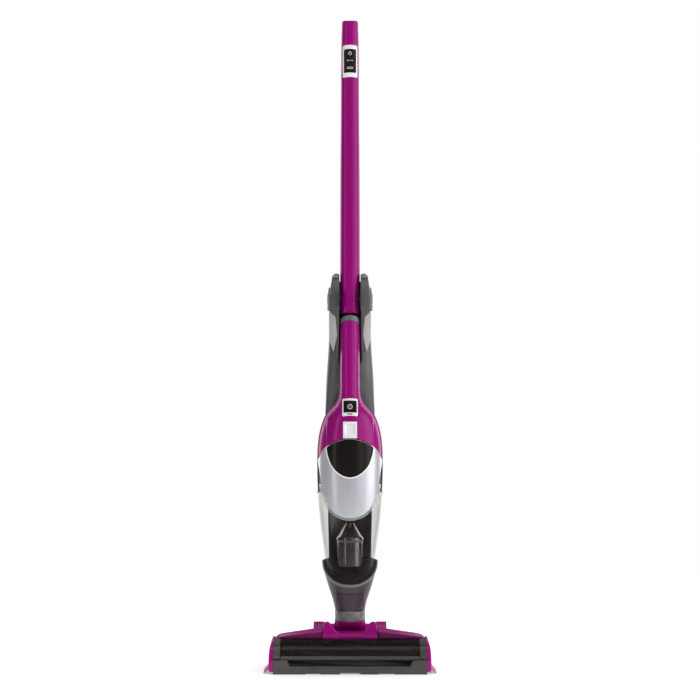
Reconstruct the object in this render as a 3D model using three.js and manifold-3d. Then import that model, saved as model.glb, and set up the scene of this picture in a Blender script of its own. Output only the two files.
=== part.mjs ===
// Cordless stick vacuum with a lift-out hand vacuum, a folding handle and a powered floor head.
//
// Units are millimetres. X is the user's right when facing the front, -Y is the front, +Z is up.
// The origin is on the floor, in the middle of the footprint.

import * as THREE from 'three';
import { mergeVertices } from 'three/addons/utils/BufferGeometryUtils.js';
import Module from 'manifold-3d';

const wasm = await Module();
wasm.setup();

// ---------------------------------------------------------------- driving dimensions

const GAP = 0.3;                 // clearance between pieces that touch
const WALL = 2.2;                // usual moulded wall

const STICK_Y = 20;              // axis of the neck, dirt cup and hand vacuum
const TOP_Z = 1118;              // top of the handle

const FOOT_FRONT_Y = -84;
const FOOT_HALF_WIDTH = 136;
const WINDOW_REAR_Y = -48;       // rear edge of the clear brush window
const FOOT_TOP_Z = 59.5;

const ROLL = { y: -54, z: 24, core: 14, rib: 21.4, halfLength: 110, shaft: 5, pulley: 11 };
const MOTOR = { y: -16, z: 27, radius: 12.5, pulley: 5, left: -100, right: -52 };
const BELT = { centre: -115, width: 5, thickness: 1.2 };
const WHEEL = { y: 68, z: 16, radius: 16, inner: 47.6, width: 14, axle: 3 };

const PIVOT = { y: 42, z: 44, barrel: 17, ear: 20, halfWidth: 37, earWidth: 9 };
const NECK = { bottom: 73, top: 90.4, radius: 26.2, bore: 20 };

const SEAT_FRONT_Z = 138;        // slanted joint between the neck socket and the dirt cup
const SEAT_FRONT_Y = -14;
const SEAT_SLOPE = 0.97;
const CUP_TOP_Z = 296;
const CUP_WALL = 3.4;
const FLAP = { z: 189, thickness: 1.4, halfWidth: 11, reach: 15.5 };
const PLATE_DEPTH = 2.1;         // thickness of the silver plate and the badge

const HANDLE_Y = 30;
const HINGE = { y: 24, z: 632, barrel: 26, pin: 4 };
const CHEEK_INNER = 18.6;
const PANEL = {
  low: 1018.5, high: 1075, half: 13.4, faceLow: 1026.6, faceHigh: 1067.6, faceHalf: 10.4,
};
const POWER = { low: 430, high: 459.5, half: 13.4, keyLow: 436, keyHigh: 455.6, keyHalf: 11.2 };
const LATCH = { low: 391.8, high: 420, half: 12 };

// Sections up the hand vacuum and its dirt cup: height, half width, half depth, middle y.
const VAC_SECTIONS = [
  [110, 31, 26, STICK_Y],
  [139, 36, 30.5, STICK_Y],
  [172, 42, 36, STICK_Y],
  [212, 47.4, 40, STICK_Y],
  [251, 52.4, 43.5, STICK_Y],
  [CUP_TOP_Z, 56, 46, STICK_Y],
  [350, 57.2, 46.4, STICK_Y],
  [376, 56.4, 45.8, STICK_Y],
  [399, 53.3, 44, STICK_Y],
  [415, 49, 41, STICK_Y],
  [430, 42.4, 37, STICK_Y],
  [438, 35.6, 34, STICK_Y],
  [449, 25.4, 29, STICK_Y],
  [460, 19.6, 24, STICK_Y],
  [476, 17.2, 19, STICK_Y],
  [500, 16.7, 16.8, STICK_Y],
  [612, 16.4, 16, STICK_Y + 2],
];

const SOCKET_SECTIONS = [
  [NECK.top, 26.5, 25.5, STICK_Y],
  [96, 27.4, 26, STICK_Y],
  [134, 38.6, 33.5, STICK_Y],
  [150, 43.2, 37, STICK_Y],
  [164, 46.6, 40, STICK_Y],
  [205, 48, 44, STICK_Y],
];

const SPINE_SECTIONS = [
  [112, 22, 4, 54],
  [150, 30, 7.4, 66.4],
  [205, 36, 8.4, 73.4],
  [260, 39, 8.4, 75.6],
  [350, 42, 8.4, 75.6],
  [400, 43.5, 9.1, 74.9],
  [430, 44, 11.5, 72.5],
  [452, 43, 14.5, 66],
  [480, 42, 19, 59.5],
  [560, 37.2, 18, 57],
  [600, 36.2, 16, 55.5],
];

const HANDLE_SECTIONS = [
  [600, 17.2, 16, HANDLE_Y],
  [760, 17, 15.8, HANDLE_Y],
  [960, 16.2, 15.2, HANDLE_Y],
  [1076, 15.5, 14.6, HANDLE_Y],
  [TOP_Z + 10, 14.2, 13.4, HANDLE_Y],
];

// ---------------------------------------------------------------- materials

function finish(color, roughness, metalness = 0, opacity = 1) {
  return () => new THREE.MeshStandardMaterial({
    color, roughness, metalness, opacity, transparent: opacity < 1,
  });
}

const magenta = finish(0x8c006e, 0.28);
const darkGrey = finish(0x4b4b4b, 0.45);
const lightGrey = finish(0xb0aeae, 0.4);
const silver = finish(0xc2c2c8, 0.3, 0.7);
const white = finish(0xf2f0ee, 0.35);
const black = finish(0x1c1a1a, 0.25);
const smoked = finish(0x3c3836, 0.08, 0, 0.45);
const clear = finish(0xcfd2d0, 0.08, 0, 0.35);
const plum = finish(0x41303f, 0.4);
const bristle = finish(0xd89ac0, 0.7);
const rubber = finish(0x202020, 0.9);
const steel = finish(0xa8a8aa, 0.3, 1);
const paper = finish(0xe6e2d8, 0.9);
const tuft = finish(0x2a2628, 0.8);

// ---------------------------------------------------------------- solids

const X_AXIS = new THREE.Vector3(1, 0, 0);
const Y_AXIS = new THREE.Vector3(0, 1, 0);
const Z_AXIS = new THREE.Vector3(0, 0, 1);

function toSolid(geometry) {
  geometry.deleteAttribute('normal');
  geometry.deleteAttribute('uv');
  const merged = mergeVertices(geometry, 1e-4);
  return new wasm.Manifold(new wasm.Mesh({
    numProp: 3,
    vertProperties: new Float32Array(merged.attributes.position.array),
    triVerts: new Uint32Array(merged.index.array),
  }));
}

function toGeometry(solid) {
  const mesh = solid.getMesh();
  const geometry = new THREE.BufferGeometry();
  geometry.setAttribute('position', new THREE.BufferAttribute(new Float32Array(mesh.vertProperties), 3));
  geometry.setIndex(new THREE.BufferAttribute(new Uint32Array(mesh.triVerts), 1));
  geometry.computeVertexNormals();
  return geometry;
}

// A box given by its low and high corner on each axis.
function block(x0, x1, y0, y1, z0, z1) {
  const geometry = new THREE.BoxGeometry(x1 - x0, y1 - y0, z1 - z0);
  geometry.translate((x0 + x1) / 2, (y0 + y1) / 2, (z0 + z1) / 2);
  return toSolid(geometry);
}

// A round bar along X from x0 to x1 about the line y, z.
function barX(radius, x0, x1, y, z, sides = 20) {
  const geometry = new THREE.CylinderGeometry(radius, radius, x1 - x0, sides);
  geometry.rotateZ(Math.PI / 2);
  geometry.translate((x0 + x1) / 2, y, z);
  return toSolid(geometry);
}

// A round bar along Z from z0 to z1 about the line x, y, with its own radius at each end.
function barZ(lowRadius, highRadius, z0, z1, x, y, sides = 20) {
  const geometry = new THREE.CylinderGeometry(highRadius, lowRadius, z1 - z0, sides);
  geometry.rotateX(Math.PI / 2);
  geometry.translate(x, y, (z0 + z1) / 2);
  return toSolid(geometry);
}

// A body of rounded sections: each is [height, half width, half depth, middle y].
// The power is 2 for an ellipse and more for a squarer section; grow widens every section.
function loft(sections, { grow = 0, sides = 24, power = 2.2 } = {}) {
  const rows = sections.length - 1;
  const geometry = new THREE.CylinderGeometry(1, 1, rows, sides, rows);
  geometry.rotateX(Math.PI / 2);
  const position = geometry.attributes.position;
  for (let i = 0; i < position.count; i += 1) {
    const [z, halfWidth, halfDepth, middle] = sections[Math.round(position.getZ(i) + rows / 2)];
    const x = position.getX(i);
    const y = position.getY(i);
    const round = Math.hypot(x, y) < 0.5
      ? 0
      : (Math.abs(x) ** power + Math.abs(y) ** power) ** (-1 / power);
    position.setXYZ(i, x * round * (halfWidth + grow), middle + y * round * (halfDepth + grow), z);
  }
  return toSolid(geometry);
}

function outline(points) {
  const shape = new THREE.Shape();
  points.forEach(([u, v], i) => (i === 0 ? shape.moveTo(u, v) : shape.lineTo(u, v)));
  shape.closePath();
  return shape;
}

function extrude(shape, depth) {
  return new THREE.ExtrudeGeometry(shape, { depth, bevelEnabled: false });
}

// An outline of x, z points carried along Y from y0 back to y1.
function frontPrism(shape, y0, y1) {
  const geometry = extrude(shape, y1 - y0);
  geometry.applyMatrix4(new THREE.Matrix4().makeBasis(X_AXIS, Z_AXIS, Y_AXIS.clone().negate()));
  geometry.translate(0, y1, 0);
  return toSolid(geometry);
}

// An outline of y, z points carried along X from x0 to x1.
function sidePrism(shape, x0, x1) {
  const geometry = extrude(shape, x1 - x0);
  geometry.applyMatrix4(new THREE.Matrix4().makeBasis(Y_AXIS, Z_AXIS, X_AXIS));
  geometry.translate(x0, 0, 0);
  return toSolid(geometry);
}

// An outline of x, y points carried up from z0 to z1.
function floorPrism(shape, z0, z1) {
  const geometry = extrude(shape, z1 - z0);
  geometry.translate(0, 0, z0);
  return toSolid(geometry);
}

// The points of a half outline followed by their mirror images in x.
function mirrored(half) {
  return outline([...half, ...half.map(([x, z]) => [-x, z]).reverse()]);
}

const object = new THREE.Group();

function add(name, solid, material) {
  const mesh = new THREE.Mesh(toGeometry(solid), material());
  mesh.name = name;
  object.add(mesh);
}

// Adds a piece on the right and its mirror image on the left.
function addPair(name, solid, material) {
  add(`${name}_right`, solid, material);
  add(`${name}_left`, solid.mirror([1, 0, 0]), material);
}

// ---------------------------------------------------------------- floor head

function footSide() {
  return outline([
    [-82, 3], [FOOT_FRONT_Y + 0.4, 20], [-82, 40], [-72, 54], [WINDOW_REAR_Y - 6, FOOT_TOP_Z],
    [-20, FOOT_TOP_Z - 1], [-2, 46], [2, 12], [0, 3],
  ]);
}

function headBody(inset) {
  const front = mirrored([
    [129 - inset, 6 - 2 * inset],
    [129 - inset, 52 - inset],
    [122 - inset, 57.5 - inset],
    [66, FOOT_TOP_Z + 1.5 - inset],
  ]);
  const plan = outline([
    [-130, WINDOW_REAR_Y + GAP + inset],
    [130, WINDOW_REAR_Y + GAP + inset],
    [130, -8 - inset],
    [56, 14 - inset],
    [-56, 14 - inset],
    [-130, -8 - inset],
  ]);
  const side = outline([
    [WINDOW_REAR_Y, 4 - 2 * inset],
    [WINDOW_REAR_Y, FOOT_TOP_Z - inset],
    [-34, FOOT_TOP_Z + 1 - inset],
    [-8, 55 - inset],
    [14, 40 - inset],
    [14, 4 - 2 * inset],
  ]);
  return frontPrism(front, -60, 40)
    .intersect(floorPrism(plan, 0, 70))
    .intersect(sidePrism(side, -131, 131));
}

function buildFoot() {
  const plan = outline([
    [-128.8, -77], [128.8, -77], [128.8, -8], [58, 14], [42, 30], [42, 60], [-42, 60], [-42, 30],
    [-58, 14], [-128.8, -8],
  ]);
  const mouth = block(-119, 119, -78, -31, 0, 8);
  add('sole_plate', floorPrism(plan, 2.4, 5.4).subtract(mouth), darkGrey);

  const bridgeHalf = PIVOT.halfWidth + PIVOT.earWidth + 2;
  const bridge = block(-bridgeHalf, bridgeHalf, -46, 30, 0, 80);
  const brushRoom = block(-126.5, 126.5, -50, -30, 0, 50);
  add('head_cover', headBody(0).subtract(headBody(WALL)).subtract(bridge).subtract(brushRoom), magenta);

  const windowArc = outline([
    [-83.6, 27], [-82.4, 35], [-79, 43], [-73, 50], [-64, 56], [-54, 59], [WINDOW_REAR_Y, FOOT_TOP_Z],
    [WINDOW_REAR_Y, FOOT_TOP_Z - 2], [-54, 57], [-63, 54], [-71.4, 48.6], [-77, 42], [-80.4, 34.6],
    [-81.6, 27],
  ]);
  add('brush_window', sidePrism(windowArc, -129, 129), smoked);

  const bumper = mirrored([
    [15, 2.4], [19, 0], [48, 0], [50, 1.2], [74, 1.2], [76, 0], [129, 0], [129, 24], [103, 24], [97, 16],
  ]);
  add('front_bumper', frontPrism(bumper, FOOT_FRONT_Y, FOOT_FRONT_Y + 5.4), darkGrey);

  const capFront = outline([
    [129, 0], [FOOT_HALF_WIDTH, 0], [FOOT_HALF_WIDTH, 44], [134, 54], [129, 62],
  ]);
  const endCap = sidePrism(footSide(), 129 + GAP, FOOT_HALF_WIDTH).intersect(frontPrism(capFront, -90, 10));
  addPair('end_cap', endCap, magenta);

  const edgeBrush = frontPrism(
    outline([[FOOT_HALF_WIDTH + GAP, 14], [FOOT_HALF_WIDTH + GAP, 8], [142, 1], [146, 1]]), -80, -46);
  addPair('edge_brush', edgeBrush, bristle);

  buildBrushDrive();
  buildCentreCover();
}

function buildBrushDrive() {
  const { y, z } = ROLL;
  let roll = barX(ROLL.core, -ROLL.halfLength, ROLL.halfLength, y, z, 14)
    .add(barX(ROLL.shaft, -126, 126, y, z, 12))
    .add(barX(ROLL.pulley, -118, -109, y, z, 20));
  const ribs = 4;
  const turn = Math.PI * 0.6;
  for (let i = 0; i < ribs; i += 1) {
    const twisted = new THREE.BoxGeometry(ROLL.rib - 12, 2.8, 2 * ROLL.halfLength - 4, 1, 1, 10);
    const position = twisted.attributes.position;
    for (let k = 0; k < position.count; k += 1) {
      const radius = position.getX(k) + (ROLL.rib + 12) / 2;
      const angle = turn * (position.getZ(k) / ROLL.halfLength) / 2 + (i * 2 * Math.PI) / ribs;
      const across = position.getY(k);
      position.setXY(k,
        radius * Math.cos(angle) - across * Math.sin(angle),
        radius * Math.sin(angle) + across * Math.cos(angle));
    }
    twisted.applyMatrix4(new THREE.Matrix4().makeBasis(Y_AXIS, Z_AXIS, X_AXIS));
    twisted.translate(0, y, z);
    roll = roll.add(toSolid(twisted));
  }
  add('brush_roll', roll, tuft);

  // The shaft has flat sides, so the bore clears its corners at every turn.
  const bearing = barX(9, 120.5, 125.5, y, z, 16).subtract(barX(ROLL.shaft + 0.4, 120, 126, y, z, 12));
  addPair('brush_bearing', bearing, steel);

  const can = barX(MOTOR.radius, MOTOR.left, MOTOR.right, MOTOR.y, MOTOR.z)
    .add(barX(7, MOTOR.right - 1, MOTOR.right + 4, MOTOR.y, MOTOR.z, 16))
    .subtract(barX(2.2, MOTOR.left - 1, MOTOR.left + 12, MOTOR.y, MOTOR.z, 12));
  add('brush_motor', can, steel);
  const pinion = barX(MOTOR.pulley, -118.5, -109, MOTOR.y, MOTOR.z, 16)
    .add(barX(1.9, -110, MOTOR.left + 10, MOTOR.y, MOTOR.z, 12));
  add('motor_pulley', pinion, steel);

  const clearance = 0.5;
  const belt = beltLoop(clearance + BELT.thickness, BELT.width).subtract(beltLoop(clearance, BELT.width + 2));
  add('drive_belt', belt, rubber);
}

// A bar along X whose outline wraps both pulleys, standing off them by grow.
function beltLoop(grow, width) {
  const reach = Math.hypot(MOTOR.y - ROLL.y, MOTOR.z - ROLL.z);
  const heading = Math.atan2(MOTOR.z - ROLL.z, MOTOR.y - ROLL.y);
  const wide = ROLL.pulley + grow;
  const narrow = MOTOR.pulley + grow;
  const lean = Math.acos((wide - narrow) / reach);
  const steps = 10;
  const points = [];
  for (let i = 0; i <= steps; i += 1) {
    const angle = heading + lean + (i / steps) * (2 * Math.PI - 2 * lean);
    points.push([ROLL.y + wide * Math.cos(angle), ROLL.z + wide * Math.sin(angle)]);
  }
  for (let i = 0; i <= steps; i += 1) {
    const angle = heading - lean + (i / steps) * 2 * lean;
    points.push([MOTOR.y + narrow * Math.cos(angle), MOTOR.z + narrow * Math.sin(angle)]);
  }
  return sidePrism(outline(points), BELT.centre - width / 2, BELT.centre + width / 2);
}

function buildCentreCover() {
  const outer = PIVOT.halfWidth + PIVOT.earWidth + 1;
  const side = outline([
    [-29.6, 7], [-29.6, 50], [-45.6, 50], [-45.6, FOOT_TOP_Z], [-30, 61], [-6, 58], [8, 44],
    [18, 26], [58, 22], [58, 7],
  ]);
  const saddle = barX(PIVOT.ear + 11, -60, 60, PIVOT.y - 2, PIVOT.z + 4, 24);
  const hollow = block(-outer + WALL, outer - WALL, -27.4, 55, 6, 19)
    .add(block(-outer + WALL, outer - WALL, -27.4, 4, 6, 40));
  let cover = sidePrism(side, -outer, outer).subtract(saddle).subtract(hollow);
  const earShape = outline([
    [PIVOT.y - PIVOT.ear, 20], [PIVOT.y - PIVOT.ear, PIVOT.z + 4], [PIVOT.y - 12, PIVOT.z + 17],
    [PIVOT.y, PIVOT.z + PIVOT.ear], [PIVOT.y + 12, PIVOT.z + 15], [PIVOT.y + PIVOT.ear - 4, PIVOT.z],
    [PIVOT.y + PIVOT.ear - 4, 20],
  ]);
  const ear = sidePrism(earShape, PIVOT.halfWidth + 1, outer)
    .subtract(barX(8.3, 30, 60, PIVOT.y, PIVOT.z));
  cover = cover.add(ear).add(ear.mirror([1, 0, 0]));
  const axleHole = barX(WHEEL.axle + GAP, -80, 80, WHEEL.y, WHEEL.z, 16);
  const bracket = block(-outer + 3, outer - 3, 50, WHEEL.y + 6, 10, 22);
  cover = cover.add(bracket);

  const knuckle = sidePrism(outline([
    [24, 6], [24, 52], [32, 62], [44, 64.5], [54, 58], [58, 46], [58, 36], [48, 30], [48, 6],
  ]), outer - 0.5, outer + 17).subtract(block(outer + 3, outer + 14, 27, 45, 0, 46));
  cover = cover.add(knuckle).add(knuckle.mirror([1, 0, 0])).subtract(axleHole);
  add('centre_cover', cover, magenta);

  add('rear_axle', barX(WHEEL.axle, -WHEEL.inner - WHEEL.width - 3, WHEEL.inner + WHEEL.width + 3,
    WHEEL.y, WHEEL.z, 16), steel);
  const wheel = barX(WHEEL.radius, WHEEL.inner, WHEEL.inner + WHEEL.width, WHEEL.y, WHEEL.z, 24)
    .subtract(barX(WHEEL.axle + 0.1, WHEEL.inner - 1, WHEEL.inner + WHEEL.width + 1, WHEEL.y, WHEEL.z, 16));
  addPair('rear_wheel', wheel, rubber);
}

// ---------------------------------------------------------------- neck

function belowSeat(drop) {
  const backY = 90;
  const rise = (y) => SEAT_FRONT_Z - drop + (y - SEAT_FRONT_Y) * SEAT_SLOPE;
  return sidePrism(outline([[-60, 60], [backY, 60], [backY, rise(backY)], [-60, rise(-60)]]), -90, 90);
}

function buildNeck() {
  const barrel = barX(PIVOT.barrel, -PIVOT.halfWidth, PIVOT.halfWidth, PIVOT.y, PIVOT.z, 24);
  const reach = PIVOT.halfWidth + PIVOT.earWidth;
  const trunnion = barX(8, -reach, reach, PIVOT.y, PIVOT.z, 24);
  const throat = loft([
    [44, 33, 15, 41], [56, 30, 21, 31], [66, 27, 25, 22.5], [NECK.bottom - GAP, 26.4, 26.2, STICK_Y],
  ]);
  const bore = barZ(17, NECK.bore, 50, 80, 0, STICK_Y + 3);
  add('elbow', barrel.add(trunnion).add(throat).subtract(bore), magenta);

  const tube = barZ(NECK.radius, NECK.radius, NECK.bottom, NECK.top + 0.2, 0, STICK_Y, 24)
    .subtract(barZ(NECK.bore, NECK.bore, 60, 100, 0, STICK_Y, 24));
  const panelZone = frontPrism(outline([[-24.5, 91.4], [24.5, 91.4], [21, 122], [-21, 122]]), -60, STICK_Y);
  const skin = loft(SOCKET_SECTIONS).subtract(loft(SOCKET_SECTIONS, { grow: -3 }));
  const rim = belowSeat(-1.2);
  const recess = loft(SOCKET_SECTIONS, { grow: 1 }).subtract(loft(SOCKET_SECTIONS, { grow: -1.2 }))
    .intersect(panelZone);
  add('neck_socket', skin.intersect(rim).subtract(recess).add(tube), darkGrey);

  const insetFront = outline([[-24.2, 91.7], [24.2, 91.7], [20.7, 121.7], [-20.7, 121.7]]);
  const inset = frontPrism(insetFront, -60, STICK_Y);
  const panelSkin = loft(SOCKET_SECTIONS, { grow: -0.4 }).subtract(loft(SOCKET_SECTIONS, { grow: -0.9 }));
  add('neck_panel', panelSkin.intersect(inset), plum);

  const seat = loft(SOCKET_SECTIONS, { grow: -3.3 }).intersect(belowSeat(2)).subtract(belowSeat(5));
  const pipe = barZ(NECK.bore + 2, NECK.bore + 2, NECK.top + GAP, 190, 0, STICK_Y, 20)
    .intersect(belowSeat(2));
  const passage = barZ(NECK.bore, NECK.bore, 60, 260, 0, STICK_Y, 20);
  add('seat_plate', seat.add(pipe).subtract(passage), black);
}

// ---------------------------------------------------------------- frame

function buildFrame() {
  const skin = loft(SPINE_SECTIONS, { power: 3, sides: 24 });
  const inside = loft(SPINE_SECTIONS, { power: 3, sides: 24, grow: -WALL });
  const shell = skin.subtract(inside);
  const parting = [[100, 50], [150, 67], [205, 74], [260, 76], [400, 75], [440, 72], [480, 62], [620, 58]];
  const behind = (shift) => sidePrism(outline([
    ...parting.map(([z, y]) => [y + shift, z]), [120, 620], [120, 100],
  ]), -80, 80);
  const ahead = (shift) => sidePrism(outline([
    ...parting.map(([z, y]) => [y + shift, z]), [-80, 620], [-80, 100],
  ]), -80, 80);
  add('spine_front', shell.intersect(ahead(-GAP / 2)), darkGrey);

  const chargeHole = new THREE.CylinderGeometry(4.6, 4.6, 40, 20);
  chargeHole.translate(0, 80, 500);
  const jack = new THREE.CylinderGeometry(4.2, 4.2, 12, 20);
  jack.translate(0, 70.4, 500);
  const jackBore = new THREE.CylinderGeometry(2.6, 2.6, 10, 16);
  jackBore.translate(0, 73.4, 500);
  const backShell = shell.intersect(behind(GAP / 2)).subtract(toSolid(chargeHole));
  add('spine_back', backShell, darkGrey);
  add('charge_socket', toSolid(jack).subtract(toSolid(jackBore)), black);

  // Fork that holds the folding handle.
  const pinHole = barX(HINGE.pin + GAP, -60, 60, HINGE.y, HINGE.z, 20);
  const cheekFront = outline([[CHEEK_INNER, 612], [CHEEK_INNER, 673.5], [31, 671], [34, 652], [34.5, 612]]);
  const cheekSide = outline([[6, 612], [6, 650], [14, 671], [30, 676], [56, 668], [66, 640], [66, 612]]);
  const cheek = frontPrism(cheekFront, 0, 80).intersect(sidePrism(cheekSide, 0, 60)).subtract(pinHole);
  addPair('cheek', cheek, darkGrey);

  const coverFront = outline([[34.8 + GAP, 612], [34.4 + GAP, 652], [38, 651], [39.6, 612]]);
  const coverSide = outline([[8, 612], [8, 630], [16, 652], [54, 652], [62, 632], [62, 612]]);
  addPair('pivot_cover', frontPrism(coverFront, 0, 80).intersect(sidePrism(coverSide, 0, 60)), lightGrey);

  const wingFront = outline([
    [19.4, 600.6], [19.4, 560], [24, 551], [36, 566], [37, 600.6], [36.4, 611.4], [18.9, 611.4],
  ]);
  const wingSide = outline([
    [10, 611.4], [12, 560], [30, 540], [37.4, 540], [37.4, 600.6], [68, 600.6], [68, 611.4],
  ]);
  const wing = frontPrism(wingFront, 0, 80).intersect(sidePrism(wingSide, 0, 60));
  addPair('side_panel', wing, lightGrey);

  add('hinge_pin', barX(HINGE.pin, -34, 34, HINGE.y, HINGE.z, 20), steel);

  const bridge = block(-CHEEK_INNER + GAP, CHEEK_INNER - GAP, 57, 66, 602, 664);
  const buttonRoom = block(-8.4, 8.4, 50, 70, 636, 652);
  add('fork_bridge', bridge.subtract(buttonRoom), darkGrey);
  add('fold_button', block(-8, 8, 56, 68.6, 636.4, 651.6), lightGrey);
}

// ---------------------------------------------------------------- handle

function buildHandle() {
  const options = { power: 2.6, sides: 28 };
  const endRound = barX(HINGE.barrel, -30, 30, HINGE.y, HINGE.z, 40)
    .add(block(-30, 30, 0, 60, HINGE.z, TOP_Z + 20));
  const capZ = TOP_Z - 9;
  const tubeZone = block(-30, 30, 0, 60, 590, capZ - GAP / 2);
  const body = loft(HANDLE_SECTIONS, options).intersect(endRound);
  const inside = loft(HANDLE_SECTIONS, { ...options, grow: -2 })
    .intersect(block(-30, 30, 0, 60, HINGE.z + 12, TOP_Z + 40));
  const shell = body.subtract(inside).intersect(tubeZone)
    .subtract(barX(HINGE.pin + 0.1, -60, 60, HINGE.y, HINGE.z, 20));
  const frontHalf = block(-30, 30, -20, HANDLE_Y - GAP / 2, 580, TOP_Z + 20);
  const rearHalf = block(-30, 30, HANDLE_Y + GAP / 2, 80, 580, TOP_Z + 20);
  const arched = (low, high, half, sag) => outline([
    [-half, low - sag], [0, low], [half, low - sag], [half, high - sag], [half / 2, high - sag / 4],
    [0, high], [-half / 2, high - sag / 4], [-half, high - sag],
  ]);
  const bezelZone = (low, high, half) => frontPrism(arched(low, high, half, 1.2), -20, HANDLE_Y - 3);
  const pocket = loft(HANDLE_SECTIONS, { ...options, grow: 2 })
    .intersect(bezelZone(PANEL.low, PANEL.high, PANEL.half));
  add('handle_front', shell.intersect(frontHalf).subtract(pocket), magenta);
  add('handle_rear', shell.intersect(rearHalf), magenta);

  const capTop = sidePrism(outline([
    [10, capZ], [10, TOP_Z - 1.6], [16, TOP_Z], [30, TOP_Z - 1.4], [40, TOP_Z - 4.4], [50, TOP_Z - 8],
    [50, capZ],
  ]), -30, 30);
  add('handle_cap', loft(HANDLE_SECTIONS, options).intersect(capTop), magenta);

  const band = (outer, inner) => loft(HANDLE_SECTIONS, { ...options, grow: outer })
    .subtract(loft(HANDLE_SECTIONS, { ...options, grow: inner }));
  const frame = bezelZone(PANEL.low + GAP, PANEL.high - GAP, PANEL.half - GAP);
  const face = bezelZone(PANEL.faceLow, PANEL.faceHigh, PANEL.faceHalf);
  add('panel_bezel', band(0.5, -3.4).intersect(frame).subtract(face), white);
  const faceSkin = bezelZone(PANEL.faceLow + GAP, PANEL.faceHigh - GAP, PANEL.faceHalf - GAP);
  const keys = [
    ['key_power', PANEL.faceLow + 28.5, PANEL.faceHigh - 2.6],
    ['key_mode', PANEL.faceLow + 15.6, PANEL.faceLow + 26.4],
    ['key_brush', PANEL.faceLow + 2.6, PANEL.faceLow + 13.4],
  ];
  let plate = band(0, -3.4).intersect(faceSkin);
  for (const [name, low, high] of keys) {
    plate = plate.subtract(bezelZone(low - GAP, high + GAP, 8.2 + GAP));
    add(name, band(0.4, -1.4).intersect(bezelZone(low, high, 8.2)), black);
  }
  add('panel_face', plate, black);
}

// ---------------------------------------------------------------- hand vacuum

// Lower edge of the magenta shell, from the middle out to the side.
const SHELL_EDGE = [
  [0, 391.4], [12, 390], [24, 386.2], [34, 381.4], [42, 376.6], [50, 364.5], [57, 352], [70, 345],
];

const SILVER_EDGE = [
  [0, 249.6], [9, 250.8], [20, 254.6], [29, 260.8], [37, 271], [42.4, 286], [48.4, 304], [53.4, 335],
  [56.4, 352], [50, 363.8], [42.2, 375.8],
];

const BADGE_EDGE = [
  [0, 321], [11, 323.6], [20, 329], [28, 337.2], [33.6, 346], [38.6, 361], [41.2, 375.2], [34, 380.4],
  [24, 385.2], [12, 389], [0, 390.4],
];

function half(points) {
  const inner = points.filter(([x]) => x > 0);
  const middle = points.filter(([x]) => x === 0);
  const [first, last] = [middle[0], middle[middle.length - 1]];
  const left = inner.map(([x, z]) => [-x, z]).reverse();
  return outline(first === last ? [first, ...inner, ...left] : [first, ...inner, last, ...left]);
}

function vac(grow) {
  return loft(VAC_SECTIONS, { grow });
}

function buildHandVac() {
  const front = block(-80, 80, -60, STICK_Y - GAP / 2, 100, 700);
  const rear = block(-80, 80, STICK_Y + GAP / 2, 90, 100, 700);
  // The grip's top slopes down to the back; the band is the light strip along that slope.
  const gripTop = sidePrism(outline([
    [-20, 200], [90, 200], [90, 560], [40, 584], [2, 606], [-20, 618],
  ]), -80, 80);
  const bandLine = sidePrism(outline([
    [-20, 200], [90, 200], [90, 552], [40, 574], [2, 596.4], [-20, 608.6],
  ]), -80, 80);
  const shellZone = frontPrism(outline([
    ...SHELL_EDGE, [70, 640], [-70, 640], ...SHELL_EDGE.slice(1).map(([x, z]) => [-x, z]).reverse(),
  ]), -60, STICK_Y);
  const powerZone = (grow) => frontPrism(outline([
    [-POWER.half - grow, POWER.low - grow], [POWER.half + grow, POWER.low - grow],
    [POWER.half + grow, POWER.high + grow - 1.4], [0, POWER.high + grow],
    [-POWER.half - grow, POWER.high + grow - 1.4],
  ]), -60, STICK_Y);
  const keyZone = (grow) => frontPrism(outline([
    [-POWER.keyHalf - grow, POWER.keyLow - grow], [POWER.keyHalf + grow, POWER.keyLow - grow],
    [POWER.keyHalf + grow, POWER.keyHigh + grow - 0.8], [0, POWER.keyHigh + grow],
    [-POWER.keyHalf - grow, POWER.keyHigh + grow - 0.8],
  ]), -60, STICK_Y);
  const latchZone = (grow) => frontPrism(outline([
    [-LATCH.half - grow, LATCH.low - grow], [LATCH.half + grow, LATCH.low - grow],
    [LATCH.half + grow, LATCH.high + grow], [-LATCH.half - grow, LATCH.high + grow],
  ]), -60, STICK_Y);

  const skin = vac(0).subtract(vac(-WALL));
  const upper = skin.intersect(front).intersect(shellZone).intersect(bandLine)
    .subtract(powerZone(GAP)).subtract(latchZone(GAP));
  add('upper_shell', upper, magenta);
  const aboveCup = block(-80, 80, -60, 90, CUP_TOP_Z + GAP, 700);
  add('rear_housing', skin.intersect(rear).intersect(aboveCup).intersect(bandLine), darkGrey);

  const bandRoom = block(-40, 40, -20, 60, 520, 640);
  const band = vac(0.2).subtract(vac(-WALL - 8)).intersect(gripTop).intersect(bandRoom)
    .subtract(bandLine.translate([0, 0, GAP]));
  add('grip_cap', band, lightGrey);

  const linerZone = block(-80, 80, -60, STICK_Y - GAP / 2, CUP_TOP_Z + GAP, 394);
  const liner = vac(-PLATE_DEPTH - GAP).subtract(vac(-PLATE_DEPTH - GAP - 2)).intersect(linerZone)
    .subtract(latchZone(GAP));
  add('front_liner', liner, darkGrey);

  add('power_bezel', vac(0.4).subtract(vac(-3)).intersect(powerZone(0)).subtract(keyZone(GAP)), white);
  add('power_button', vac(0.1).subtract(vac(-2.4)).intersect(keyZone(0)), black);
  const scoop = new THREE.SphereGeometry(13, 24, 12);
  scoop.scale(0.72, 0.5, 0.9);
  scoop.translate(0, STICK_Y - 50.5, 404);
  const latch = vac(0.8).subtract(vac(-4)).intersect(latchZone(0)).subtract(toSolid(scoop));
  add('cup_latch', latch, white);

  buildVacInside();
}

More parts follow.
